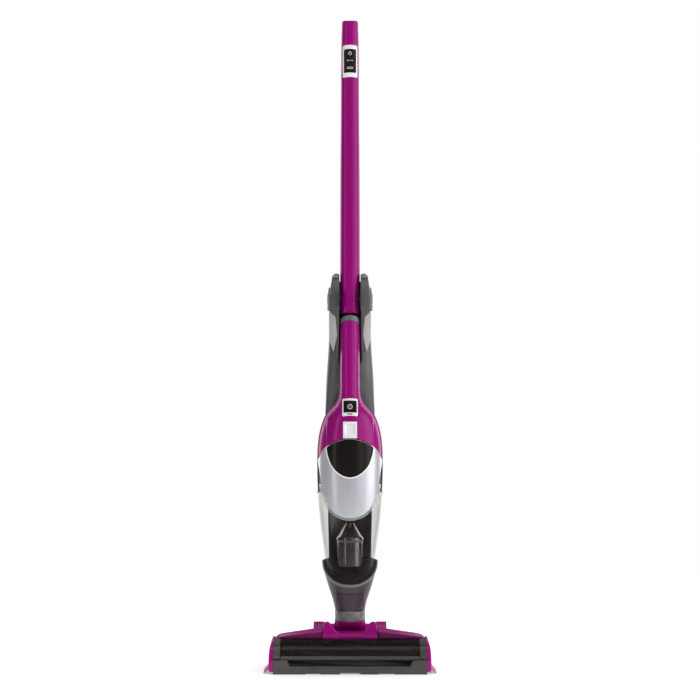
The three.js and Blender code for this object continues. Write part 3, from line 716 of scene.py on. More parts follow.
def ring_frame(outer: Array, inner: Array, top: Place, back: Place, edge: float = 0.4) -> Mesh:
    """A closed frame between two outlines, with both top edges rounded by quarter circles."""
    wide = np.linalg.norm(outer - inner, axis=1, keepdims=True)
    rows = []
    turns = np.linspace(0, 1, 5) * np.pi / 2
    profile = [(edge * (1 - np.cos(a)), edge * (1 - np.sin(a)), False) for a in turns]
    profile += [(edge * (1 - np.cos(a)), edge * (1 - np.sin(a)), True) for a in turns[::-1]]
    for along, fall, from_outer in profile:
        share = np.minimum(along / np.maximum(wide, 1e-6), 0.5)
        pair = outer + (inner - outer) * share if from_outer else inner + (outer - inner) * share
        high, low = top(pair[:, 0], pair[:, 1]), back(pair[:, 0], pair[:, 1])
        down = (low - high) / np.maximum(np.linalg.norm(low - high, axis=1, keepdims=True), 1e-9)
        rows.append(high + down * fall)
    rows.append(back(outer[:, 0], outer[:, 1]))
    rows.append(back(inner[:, 0], inner[:, 1]))
    return looped(np.stack(rows), wrap_rows=True)


class Axis(Enum):
    """The direction that a turned piece's axis takes."""

    X = 0
    Y = 1
    Z = 2


def turned(profile: Sequence[Sequence[float]], axis: Axis, centre: Sequence[float], sides: int = 64,
           closed: bool = False) -> Mesh:
    """A profile of radius and distance along the axis, carried round the axis.

    Args:
        profile: Radius and distance pairs, from one end to the other or round a closed section.
        axis: Direction of the axis.
        centre: A point of the axis, from which the distances run.
        sides: Points in each ring.
        closed: True if the profile's last point joins its first.

    Returns:
        The mesh, point k of a ring being at angle 2 pi k / sides.
    """
    radius, along = np.asarray(profile, float).T
    angle = np.linspace(0, 2 * np.pi, sides, endpoint=False)
    a, b = radius[:, None] * np.cos(angle), radius[:, None] * np.sin(angle)
    c = np.broadcast_to(along[:, None], a.shape)
    order = {Axis.X: (c, a, b), Axis.Y: (b, c, a), Axis.Z: (a, b, c)}[axis]
    return looped(np.stack(order, -1) + np.asarray(centre, float), wrap_rows=closed)


def spikes(root: Array, tip: Array, radius: float, tip_share: float = 0.35, sides: int = 4) -> Mesh:
    """Many short tapered bristles: a ring at each root, a smaller one at each tip, and a point in
    the middle of both ends.

    Args:
        root: Root of each bristle.
        tip: Tip of each bristle.
        radius: Radius at the root.
        tip_share: Radius at the tip as a share of that at the root.
        sides: Sides of each bristle.

    Returns:
        The mesh.
    """
    along = tip - root
    along = along / np.linalg.norm(along, axis=1, keepdims=True)
    helper = np.where(np.abs(along[:, :1]) < 0.9, [[1.0, 0, 0]], [[0, 1.0, 0]])
    u = np.cross(along, helper)
    u /= np.linalg.norm(u, axis=1, keepdims=True)
    v = np.cross(along, u)
    angle = np.linspace(0, 2 * np.pi, sides, endpoint=False)
    ring = u[:, None] * np.cos(angle)[None, :, None] + v[:, None] * np.sin(angle)[None, :, None]
    low, high = root[:, None] + ring * radius, tip[:, None] + ring * radius * tip_share
    ends = [np.repeat(p[:, None], sides, 1) for p in (root, tip)]
    cells = np.stack([ends[0], low, high, ends[1]], 1)
    face = turn_faces(4, sides, False, True)
    count = len(root)
    faces = face[None] + (np.arange(count) * 4 * sides)[:, None, None]
    return cells.reshape(-1, 3), faces.reshape(-1, 4)


def place_piece(data: bpy.types.Mesh, tidy: bmesh.types.BMesh, body: str, dress: Dress,
                replaces: Sequence[str]) -> bpy.types.Object:
    """Writes a tidied mesh back, and puts it in the scene as a piece.

    Args:
        data: The mesh, whose name the piece takes.
        tidy: Its working copy, which is freed.
        body: CAD body that the piece rides on.
        dress: Its finish.
        replaces: CAD nodes that it stands for.

    Returns:
        The new object, whose place is in its mesh.
    """
    tidy.to_mesh(data)
    tidy.free()
    data.shade_smooth()
    data.set_sharp_from_angle(angle=SHARP_ANGLE)
    data.materials.append(dress.material())
    piece = bpy.data.objects.new(data.name, data)
    bpy.context.scene.collection.objects.link(piece)
    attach(piece, body)
    if replaces:
        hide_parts(*replaces)
    log.info("%s: %d faces on %s", piece.name, len(data.polygons), body)
    return piece


def make_piece(name: str, mesh: Mesh, body: str, dress: Dress,
               replaces: Sequence[str] = ()) -> None:
    """Turns a mesh into a piece of the object, closed, smooth and pointing outwards.

    Args:
        name: The piece's name.
        mesh: Points in millimetres and faces.
        body: CAD body that the piece rides on.
        dress: Its finish.
        replaces: CAD nodes that it stands for.
    """
    points, faces = mesh
    data = bpy.data.meshes.new(name)
    data.from_pydata((points * MM).tolist(), [], faces.tolist())
    tidy = bmesh.new()
    tidy.from_mesh(data)
    bmesh.ops.remove_doubles(tidy, verts=tidy.verts, dist=WELD)
    bmesh.ops.dissolve_degenerate(tidy, edges=tidy.edges, dist=WELD / 20)
    bmesh.ops.recalc_face_normals(tidy, faces=tidy.faces)
    place_piece(data, tidy, body, dress, replaces)


def make_pair(name: str, mesh: Mesh, body: str, dress: Dress, replaces: str | None = None) -> None:
    """Makes a piece on the right and its mirror image on the left. Both stand for the CAD node of
    their own side whose name begins with replaces."""
    for side, half in (("right", mesh), ("left", mirror(mesh))):
        make_piece(f"{name}_{side}", half, body, dress, [f"{replaces}_{side}"] if replaces else [])


def rounded_copy(node: str, body: str, dress: Dress, width: float) -> None:
    """A copy of a CAD node with its edges rounded by a Bevel.

    Args:
        node: The CAD node.
        body: The body it rides on.
        dress: Its finish.
        width: Width of the rounding in millimetres.
    """
    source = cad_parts[node].data
    points = np.empty(len(source.vertices) * 3)
    source.vertices.foreach_get("co", points)
    corners = np.empty(len(source.loops), int)
    source.loops.foreach_get("vertex_index", corners)
    data = bpy.data.meshes.new(f"{node}_skin")
    data.from_pydata(points.reshape(-1, 3).tolist(), [], corners.reshape(-1, 3).tolist())
    tidy = bmesh.new()
    tidy.from_mesh(data)
    bmesh.ops.remove_doubles(tidy, verts=tidy.verts, dist=WELD)
    bmesh.ops.dissolve_limit(tidy, angle_limit=FLAT_ANGLE, verts=tidy.verts, edges=tidy.edges)
    piece = place_piece(data, tidy, body, dress, [node])
    bevel = piece.modifiers.new("round_edges", "BEVEL")
    bevel.width = width * MM
    bevel.segments = 2
    bevel.limit_method = "ANGLE"
    bevel.angle_limit = BEVEL_ANGLE


# ---------------------------------------------------------------- handle


def ring_angles(count: int) -> Array:
    """Angles all round a body, with extra ones close to its side seams at a quarter turn each
    way."""
    even = np.linspace(-np.pi, np.pi, count, endpoint=False)
    seam = np.array([-0.05, -0.03, -0.018, -0.008, 0.008, 0.018, 0.03, 0.05])
    return np.unique(np.concatenate([even, np.pi / 2 + seam, -np.pi / 2 + seam]))


def capped(body: Body, low: Rule, high: Rule, start: tuple[float, float], edge: float,
           rows: int = 90, columns: int = 88,
           relief: Callable[[Array, Array], Array] | None = None) -> Mesh:
    """A closed upright body between two cuts, with rounded ends.

    Args:
        body: Its cross-sections.
        low: Height of the lower cut at x, y.
        high: Height of the upper cut at x, y.
        start: First guesses of the two heights.
        edge: Radius of the rounded ends.
        rows: Rows of points up the side.
        columns: Points round it, before those at its seams.
        relief: How far the side stands out at each angle and height.

    Returns:
        The mesh.
    """
    angle = ring_angles(columns)
    z0, z1 = body.meet(angle, low, start[0]), body.meet(angle, high, start[1])
    share = np.linspace(0, 1, rows)[:, None]
    z = z0 + edge + (z1 - z0 - 2 * edge) * share
    side = body.skin(angle, z, relief(angle[None], z) if relief else 0.0)

    def end(rule: Rule, sign: float) -> Array:
        """Rings from the middle of an end out to its rounded edge."""
        rings = []
        flat = body.skin(angle, z0 if sign > 0 else z1, -edge)
        middle = flat.mean(0)
        for f in np.linspace(0, 1, 7):
            ring = middle + f * (flat - middle)
            ring[:, 2] = rule(ring[:, 0], ring[:, 1])
            rings.append(ring)
        for turn in np.linspace(0.25, 0.85, 3) * np.pi / 2:
            ring = body.skin(angle, z0 if sign > 0 else z1, -edge * (1 - np.sin(turn)))
            ring[:, 2] = rule(ring[:, 0], ring[:, 1]) + sign * edge * (1 - np.cos(turn))
            rings.append(ring)
        return np.stack(rings)

    return looped(np.concatenate([end(low, 1.0), side, end(high, -1.0)[::-1]]))


def seat_height(y: Array, above: float) -> Array:
    """Height of the slant where the cup sits in the neck, which is level behind its bend."""
    return SEAT_Z + (np.minimum(y, SEAT_BEND) - SEAT_Y) * SEAT_SLOPE + above


def dished(body: Body, rule: Rule, where: tuple[Array, Array], inside: float,
           lifts: tuple[float, float]) -> Mesh:
    """A slanted floor with a round opening in its middle.

    Args:
        body: The body that it fills.
        rule: The slanted cut that it follows.
        where: Angles round the body, and the height of the cut at each.
        inside: How far its edge lies inside the skin.
        lifts: Heights of its underside and its top above the cut.

    Returns:
        Its mesh.
    """
    angle, z = where
    rings = []
    for lift in lifts:
        edge = body.skin(angle, z + lift, -inside)
        edge[:, 2] = rule(edge[:, 0], edge[:, 1]) + lift
        rings.append([edge, edge.mean(0) + OPENING * (edge - edge.mean(0))])
    (low_out, low_in), (high_out, high_in) = rings
    return looped(np.stack([low_in, low_out, high_out, high_in]), True)


def circle(radius: float, z: float, count: int) -> Array:
    """An anticlockwise circle of points about x = 0 at that height."""
    turn = np.linspace(0, 2 * np.pi, count, endpoint=False)
    return np.stack([radius * np.cos(turn), z + radius * np.sin(turn)], -1)


@dataclass
class Handle:
    """The magenta handle with its rounded hinge end, sloping top and panel of three keys."""

    body: Body = Body(((600, 17.2, 16, HANDLE_Y), (760, 17, 15.8, HANDLE_Y),
                       (960, 16.2, 15.2, HANDLE_Y), (1076, 15.5, 14.6, HANDLE_Y),
                       (1128, 14.2, 13.4, HANDLE_Y)), 2.6)
    barrel: float = 26.0
    top: float = 1117.8
    cap_line: float = 1109.0
    panel_low: float = 1018.8
    panel_high: float = 1074.7
    face_low: float = 1026.9
    face_high: float = 1067.3

    def _foot(self, x: Array, y: Array) -> Array:
        """Height of the round lower end: that of a cylinder along X about the hinge."""
        return HINGE_Z - np.sqrt(np.maximum(self.barrel**2 - (y - HINGE_Y) ** 2, 0.0))

    def _head(self, x: Array, y: Array) -> Array:
        """Height of the top, which slopes to the back."""
        drops = [1.6, 0.5, 0.0, 1.4, 4.4, 7.6]
        return self.top - soft_line(y, [14, 16, 19, 30, 40, 46], drops)

    def _relief(self, angle: Array, z: Array) -> Array:
        """A groove down each side seam and one round the cap."""
        seam = ridge(np.abs(angle), np.pi / 2, 0.012)
        cap = ridge(z, self.cap_line - 2.0, 0.5)
        return -0.45 * np.maximum(seam * (z > HINGE_Z + 20), cap)

    def _plate(self, outline: Array, height: float, edge: float) -> Mesh:
        """A plate on the front of the handle, standing out by height."""
        return plaque(outline, self.body.raised(height), self.body.raised(-1.2), edge)

    def _frame(self, outer: Array, inner: Array, height: float, edge: float = 0.3) -> Mesh:
        """A frame on the front of the handle, standing out by height."""
        return ring_frame(outer, inner, self.body.raised(height), self.body.raised(-1.2), edge)

    def build(self) -> None:
        """Builds the handle and its panel."""
        skin = capped(self.body, self._foot, self._head, (610, 1112), 1.6, 150, 88, self._relief)
        make_piece("handle_skin", skin, "handle", Dress.MAGENTA,
                   ["handle_front", "handle_rear", "handle_cap"])
        outer = rounded_box(13.0, self.panel_low, self.panel_high, 2.2, 1.2)
        inner = rounded_box(10.7, self.face_low - 0.4, self.face_high + 0.4, 1.4, 1.0)
        make_piece("panel_frame", self._frame(outer, inner, 0.75), "handle", Dress.WHITE,
                   ["panel_bezel"])
        face = rounded_box(10.9, self.face_low - 0.6, self.face_high + 0.6, 1.4, 1.0)
        make_piece("panel_glass", self._plate(face, 0.25, 0.2), "handle", Dress.INK, ["panel_face"])
        self._keys()

    def _keys(self) -> None:
        """Builds the three keys and their signs."""
        low = self.face_low - 0.3
        spans = {"key_power": (low + 28.5, self.face_high - 2.3),
                 "key_mode": (low + 15.6, low + 26.4), "key_brush": (low + 2.6, low + 13.4)}
        for name, (z0, z1) in spans.items():
            key = rounded_box(8.2, z0, z1, 1.4, 0.6)
            mid = (z0 + z1) / 2
            make_piece(f"{name}_cap", self._plate(key, 0.62, 0.35), name, Dress.INK, [name])
            make_piece(f"{name}_sign", self._sign(name, mid), name, Dress.WHITE)

    def _sign(self, name: str, mid: float) -> Mesh:
        """The raised sign on a key: a power ring, a plus and a minus, or a pill."""
        height = 0.78

        def bar(x: float, z: float, wide: float, high: float) -> Mesh:
            """A small raised bar about that place."""
            box = rounded_box(wide / 2, z - high / 2, z + high / 2, min(wide, high) * 0.45, 0.0, 32,
                              x)
            return self._plate(box, height, 0.06)

        if name == "key_power":
            return joined(self._frame(circle(3.2, mid, 48), circle(2.55, mid, 48), height, 0.06),
                          bar(0, mid + 0.6, 0.65, 2.6))
        if name == "key_mode":
            return joined(bar(-3.7, mid, 3.0, 0.95), bar(-3.7, mid, 0.95, 3.0),
                          bar(0.1, mid, 0.6, 3.6), bar(3.8, mid, 2.8, 0.95))
        pill = rounded_box(5.2, mid - 1.7, mid + 1.7, 1.6, 0.0, 64)
        core = rounded_box(4.6, mid - 1.1, mid + 1.1, 1.05, 0.0, 64)
        return joined(self._frame(pill, core, height, 0.06), bar(-1.6, mid, 0.5, 2.2),
                      bar(1.6, mid, 0.5, 2.2))


# ---------------------------------------------------------------- frame


@dataclass
class Frame:
    """The grey back frame: its spine, the fork that holds the handle, and the side panels whose
    light grey paints a reflection.
    """

    body: Body = Body(((112, 22, 4, 54), (150, 30, 7.4, 66.4), (205, 36, 8.4, 73.0),
                       (260, 39, 8.2, 74.8), (350, 42, 8.2, 74.8), (400, 43.5, 9.1, 74.0),
                       (430, 44, 11.5, 71.7), (452, 43, 14.5, 66), (480, 42, 19, 59.5),
                       (560, 37.2, 18, 57), (600, 36.2, 16, 55.5)), 3.0)
    charge_z: float = 500.0

    def _relief(self, angle: Array, z: Array) -> Array:
        """A seam down each side, and three shallow grip flutes across the back."""
        seam = -0.5 * ridge(np.abs(angle), np.pi / 2, 0.012)
        behind = rise(-np.cos(angle), 0.55, 0.9)
        flutes = sum(ridge(z, height, 1.6) for height in (300, 312, 324))
        return seam - 0.7 * behind * flutes

    def _slab(self, side: Sequence[Sequence[float]], inner: Callable[[Array], Array],
              outer: Callable[[Array], Array], edge: float, soften: int = 2) -> Mesh:
        """A plate standing in the Y, Z plane, between two widths that change with height."""
        outline = even_outline(side, 120, soften)
        return plaque(outline, lambda y, z: np.stack([outer(z), y, z], -1), lambda y,
                      z: np.stack([inner(z), y, z], -1), edge, 10)

    def build(self) -> None:
        """Builds the frame."""
        spine = capped(self.body, level(112.0), level(600.0), (112, 600), 1.2, 170, 96,
                       self._relief)
        make_piece("spine_skin", spine, "frame", Dress.DARK_GREY, ["spine_front", "spine_back"])
        self._fork()
        self._arms()
        self._charge_port()

    def _fork(self) -> None:
        """Builds the cheeks, their outer covers, the bridge and the fold button."""
        cheek = [(6, 612), (66, 612), (66, 640), (56, 668), (42, 674.5), (30, 676), (14, 671),
                 (6, 650)]
        outer = tilted([612, 652, 671, 676], [34.5, 34, 31, 26.5])
        make_pair("cheek_skin", self._slab(cheek, level(18.6), outer, 1.4), "frame",
                  Dress.DARK_GREY, "cheek")
        crown = [(9.4, 668.6), (16, 671), (30, 674), (42, 672.8), (55, 667), (60, 657), (61.5, 658),
                 (56.4, 669.5), (42, 676), (30, 677.2), (13, 672), (9, 670)]
        outer = tilted([652, 671, 676], [34.5, 31.5, 27.4])
        make_pair("cheek_crown", self._slab(crown, level(20.5), outer, 0.5), "frame",
                  Dress.STEP_GREY)
        cover = [(8, 612), (62, 612), (62, 632), (54, 652), (16, 652), (8, 630)]
        outer = tilted([612, 640, 652], [39.4, 38.6, 37.2])
        make_pair("pivot_cover_skin", self._slab(cover, level(34.9), outer, 1.2), "frame",
                  Dress.STEP_GREY, "pivot_cover")
        disc = [(0, -1.0), (8.2, -1.0), (8.2, 0.0), (8.8, 0.35), (9, 1.0), (8.6, 1.4), (0, 1.5)]
        hub = turned(disc, Axis.X, (38.2, HINGE_Y, HINGE_Z), 48)
        make_pair("pivot_disc", hub, "frame", Dress.MID_GREY)
        ring = [(4.6, 0), (23.4, 0), (24, 0.3), (24, 0.9), (23.4, 1.2), (4.6, 1.2)]
        washer = turned(ring, Axis.X, (17.4, HINGE_Y, HINGE_Z), 56, True)
        make_pair("hinge_washer", washer, "frame", Dress.RUBBER)
        # Painted shade: a black plate behind the handle makes the gaps between it and the cheeks
        # look dark.
        well = even_outline([(33, 560), (33, 664), (-33, 664), (-33, 560)], 96, 1)
        make_piece("fork_painted_shade", plaque(well, upright(51.2), upright(56.4), 0.8), "frame",
                   Dress.BLACK)
        rounded_copy("fork_bridge", "frame", Dress.DARK_GREY, 0.8)
        rounded_copy("fold_button", "fold_button", Dress.LIGHT_GREY, 1.0)

    def _arms(self) -> None:
        """Builds the side panels, light grey as a painted reflection, and the dark arms that run
        down inside them to a point.
        """
        # Painted reflection: the light grey panels stand for highlights on the glossy bevelled
        # sides of the fork.
        light = even_outline([(36.6, 610.8), (25.6, 600.5), (22.4, 569), (28.0, 540), (29.0, 540),
                              (36.4, 560.5)], 120, 1)
        panel = plaque(light, self._leaning(0.0), self._leaning(26.0), 1.0, 10)
        make_pair("side_panel_painted_reflection", panel, "frame", Dress.LIGHT_GREY, "side_panel")
        dark = even_outline([(36.4, 612.4), (19.2, 612.4), (19.2, 560), (20.4, 520), (22.4, 520),
                             (25.6, 545), (23.4, 569), (26.6, 601.5)], 120, 1)
        arm = plaque(dark, self._leaning(0.9), self._leaning(26.9), 0.8, 10)
        make_pair("fork_arm", arm, "frame", Dress.DARK_GREY)

    def _leaning(self, back: float) -> Place:
        """Returns a place on the front of the fork's arms, that far behind it. The front leans back
        downwards and hollows a little towards its middle."""
        return lambda x, z: np.stack([x, 6.6 + (611 - z) * 0.24 + (np.abs(x) - 24) ** 2 * 0.02
                                      + back, z], -1)

    def _charge_port(self) -> None:
        """Builds the collar and the pin of the charging socket."""
        lip = [(5.2, 0.0), (7.4, 0.0), (7.8, 0.5), (7.6, 1.4), (7.0, 1.8), (5.6, 1.7), (5.2, 1.2)]
        centre = (0.0, float(self.body.skin(np.array(np.pi), np.array(self.charge_z))[1]) - 0.6,
                  self.charge_z)
        make_piece("charge_collar", turned(lip, Axis.Y, centre, 48, True), "frame", Dress.MID_GREY)
        well = [(0, 0.0), (5.3, 0.0), (5.3, 0.8), (0, 0.8)]
        make_piece("charge_well", turned(well, Axis.Y, centre, 40), "frame", Dress.BLACK)
        pin = [(0, 0.5), (0.9, 0.5), (0.9, 1.5), (0.5, 1.9), (0, 1.95)]
        make_piece("charge_pin", turned(pin, Axis.Y, centre, 20), "frame", Dress.STEEL)


# ---------------------------------------------------------------- hand vacuum


VAC_BODY = Body(((110, 31, 26, STICK_Y), (139, 36, 30.5, STICK_Y), (172, 42, 36, STICK_Y),
                 (212, 47.4, 40, STICK_Y), (251, 52.4, 43.5, STICK_Y), (296, 56, 46, STICK_Y),
                 (350, 57.2, 46.4, STICK_Y), (376, 56.4, 45.8, STICK_Y), (399, 53.3, 44, STICK_Y),
                 (415, 49, 41, STICK_Y), (430, 42.4, 37, STICK_Y), (438, 35.6, 34, STICK_Y),
                 (449, 25.4, 29, STICK_Y), (460, 19.6, 24, STICK_Y), (476, 17.2, 19, STICK_Y),
                 (500, 16.7, 16.8, STICK_Y), (612, 16.4, 16, STICK_Y + 2)))

SHELL_EDGE = ((0, 391.4), (12, 390), (24, 386.2), (34, 381.4), (42, 376.6), (50, 364.5), (57, 352),
              (70, 345))
SILVER_LOW = ((0, 254.4), (9, 255.5), (20, 259), (29, 264.8), (37, 274), (42.4, 287.6), (48.4, 305),
              (53.4, 335), (56.4, 352))
BADGE_EDGE = ((0, 324), (11, 326.4), (20, 331.4), (28, 339), (33.6, 347.2), (38.6, 361.6),
              (41.2, 375.2), (34, 380.4), (24, 385.2), (12, 389), (0, 390.4))


def both_halves(points: Sequence[Sequence[float]]) -> list[tuple[float, float]]:
    """An anticlockwise outline from its right half, which runs from the lowest middle point up."""
    return [*points, *[(-x, z) for x, z in reversed(points) if x > 0]]


@dataclass
class HandVac:
    """The lift-out hand vacuum: magenta shell, grip cap, power button, latch and rear housing."""

    power: tuple[float, float, float] = (430.0, 459.5, 13.4)
    power_key: tuple[float, float, float] = (436.0, 455.6, 11.2)
    latch: tuple[float, float, float] = (391.8, 420.0, 12.0)
    facet_x: float = 39.5
    band_line: tuple[tuple[float, float], ...] = ((-20, 608.6), (2, 596.4), (40, 574), (90, 552))
    grip_top: tuple[tuple[float, float], ...] = ((-20, 618), (2, 606), (40, 584), (90, 560))

    def _line(self, points: Sequence[Sequence[float]], fall: float = 0.0) -> Rule:
        """Returns a sloping cut whose height depends on y."""
        at, height = np.array(points).T
        return lambda x, y: np.interp(y, at, height) - fall

    def _shell_low(self, x: Array, y: Array) -> Array:
        """Height of the magenta shell's lower edge."""
        at, height = np.array(SHELL_EDGE).T
        return soft_line(np.abs(x), at, height)

    def _sheet(self, angle: Array, low: Rule, high: Rule, guess: tuple[float, float], rows: int,
               thickness: float, relief: Callable[[Array, Array, Array], Array] | None = None,
               edge: float = 0.7) -> Mesh:
        """A curved sheet of the body between two cuts, with all its outer edges rounded."""
        z0, z1 = VAC_BODY.meet(angle, low, guess[0]), VAC_BODY.meet(angle, high, guess[1])
        span = float(np.mean(z1 - z0))
        share = close_ends(rows, span, edge)[:, None]
        z = z0 + (z1 - z0) * share
        around = (angle - angle[0]) / (angle[-1] - angle[0])
        drop = np.maximum(edge_drop(share, span, edge), edge_drop(around, 110.0, edge)[None])
        flat = VAC_BODY.skin(angle, z)
        lift = relief(flat[..., 0], z, z - z0) if relief else 0.0
        return walled(VAC_BODY.skin(angle, z, lift - drop), VAC_BODY.skin(angle, z, -thickness))

    def _relief(self, x: Array, z: Array, above: Array) -> Array:
        """A step down outside each facet line, a bead along the lower edge, and one along each
        side."""
        width = VAC_BODY.sizes(z)[0]
        facet = rise(np.abs(x), self.facet_x, self.facet_x + 2.2) * (1 - rise(z, 425, 440))
        bead = ridge(above, 1.5, 1.0) * rise(width - np.abs(x), -1, 2)
        side = ridge(width - np.abs(x), 0.0, 0.35) * rise(z, 380, 400)
        return 0.45 * bead + 0.5 * side - 1.0 * facet

    def build(self) -> None:
        """Builds the hand vacuum."""
        half_turn = close_ends(120, 110.0, 0.7) * (np.pi - 0.008) - (np.pi / 2 - 0.004)
        shell = self._sheet(half_turn, self._shell_low, self._line(self.band_line), (380, 595), 200,
                            2.2, self._relief)
        make_piece("shell_skin", shell, "hand_vac", Dress.MAGENTA, ["upper_shell"])
        rear = self._sheet(half_turn + np.pi, level(296.5), self._line(self.band_line),
                           (296.5, 580), 150, 2.2, self._vents)
        make_piece("rear_skin", rear, "hand_vac", Dress.DARK_GREY, ["rear_housing"])
        around = np.linspace(-np.pi, np.pi, 96, endpoint=False)
        low = VAC_BODY.meet(around, self._line(self.band_line, -0.4), 585)
        high = VAC_BODY.meet(around, self._line(self.grip_top), 600)
        steps = [(0.0, -6.0), (0.0, 0.0), (0.03, 0.25), (0.5, 0.5), (0.86, 0.25), (0.97, -0.4),
                 (1.0, -1.6), (1.0, -9.0), (1.0, -16.0)]
        cap = [VAC_BODY.skin(around, low + (high - low) * s, g) for s, g in steps]
        floor = VAC_BODY.skin(around, low, -16.0)
        make_piece("grip_band", looped(np.stack([floor, *cap])), "hand_vac", Dress.MID_GREY,
                   ["grip_cap"])
        self._controls()
        self._inside()

    def _vents(self, x: Array, z: Array, above: Array) -> Array:
        """Rows of exhaust slots on each side of the rear housing, 1.2 mm deep."""
        slots = 0.5 + 0.5 * np.cos((z - 318) * 2 * np.pi / 6.5)
        zone = rise(z, 312, 316) * (1 - rise(z, 372, 376)) * rise(np.abs(x), 33, 35)
        return -1.2 * rise(slots, 0.45, 0.75) * zone * (1 - rise(np.abs(x), 52.5, 54))

    def _controls(self) -> None:
        """Builds the power button in its frame, the slot under it, and the latch."""
        low, high, half = self.power
        key_low, key_high, key_half = self.power_key
        outer = rounded_box(half, low, high, 1.6, 1.4)
        inner = rounded_box(key_half + 0.3, key_low - 0.3, key_high + 0.3, 1.2, 0.8)
        frame_mesh = ring_frame(outer, inner, VAC_BODY.raised(1.3), VAC_BODY.raised(-2.4), 0.45)
        make_piece("power_frame", frame_mesh, "hand_vac", Dress.WHITE, ["power_bezel"])
        slot = rounded_box(4.6, low + 2.0, low + 3.9, 0.8)
        make_piece("power_slot", plaque(slot, VAC_BODY.raised(1.36), VAC_BODY.raised(0.2), 0.1, 4),
                   "hand_vac", Dress.INK)
        key = rounded_box(key_half, key_low, key_high, 1.2, 0.8)
        make_piece("power_cap", plaque(key, VAC_BODY.raised(0.75), VAC_BODY.raised(-2.2), 0.4),
                   "power_button", Dress.INK, ["power_button"])
        middle = key_low + 9.4
        ring = ring_frame(circle(4.3, middle, 64), circle(3.4, middle, 64), VAC_BODY.raised(0.95),
                          VAC_BODY.raised(0.3), 0.08)
        bar = plaque(rounded_box(0.45, middle - 1.6, middle + 2.0, 0.35, 0.0, 32),
                     VAC_BODY.raised(0.95), VAC_BODY.raised(0.3), 0.08, 4)
        make_piece("power_sign", joined(ring, bar), "power_button", Dress.WHITE)

        z0, z1, wide = self.latch

        def scooped(x: Array, z: Array) -> Array:
            """The latch's face: 2.4 mm proud, hollowed 2.1 mm by a smooth round dish."""
            dish = (1 - rise(np.abs(x), 5.4, 9.6)) * rise(z, z0 + 3.0, z0 + 10.5)
            dish = dish * (1 - rise(z, z1 - 5.4, z1 - 3.6))
            return np.stack([x, VAC_BODY.front(x, z) - 2.4 + 2.1 * dish, z], -1)

        latch = plaque(rounded_box(wide, z0, z1, 1.0), scooped, VAC_BODY.raised(-4.2), 0.5, 30)
        make_piece("latch_key", latch, "cup_latch", Dress.WHITE, ["cup_latch"])

    def _inside(self) -> None:
        """Gives the pieces inside the body their finishes."""
        inside = {"front_liner": Dress.SOOT, "filter_frame": Dress.BLACK,
                  "filter_pleats": Dress.PAPER, "fan": Dress.BLACK, "suction_motor": Dress.STEEL,
                  "battery_pack": Dress.CELL, "circuit_board": Dress.LAMINATE}
        dress_nodes(inside)


def dress_nodes(finishes: dict[str, Dress]) -> None:
    """Gives CAD nodes that stay in view their finishes."""
    for name, dress in finishes.items():
        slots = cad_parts[name].data.materials
        slots.clear()
        slots.append(dress.material())
        log.info("%s: CAD node in %s", name, dress.value.name)


# ---------------------------------------------------------------- dirt cup


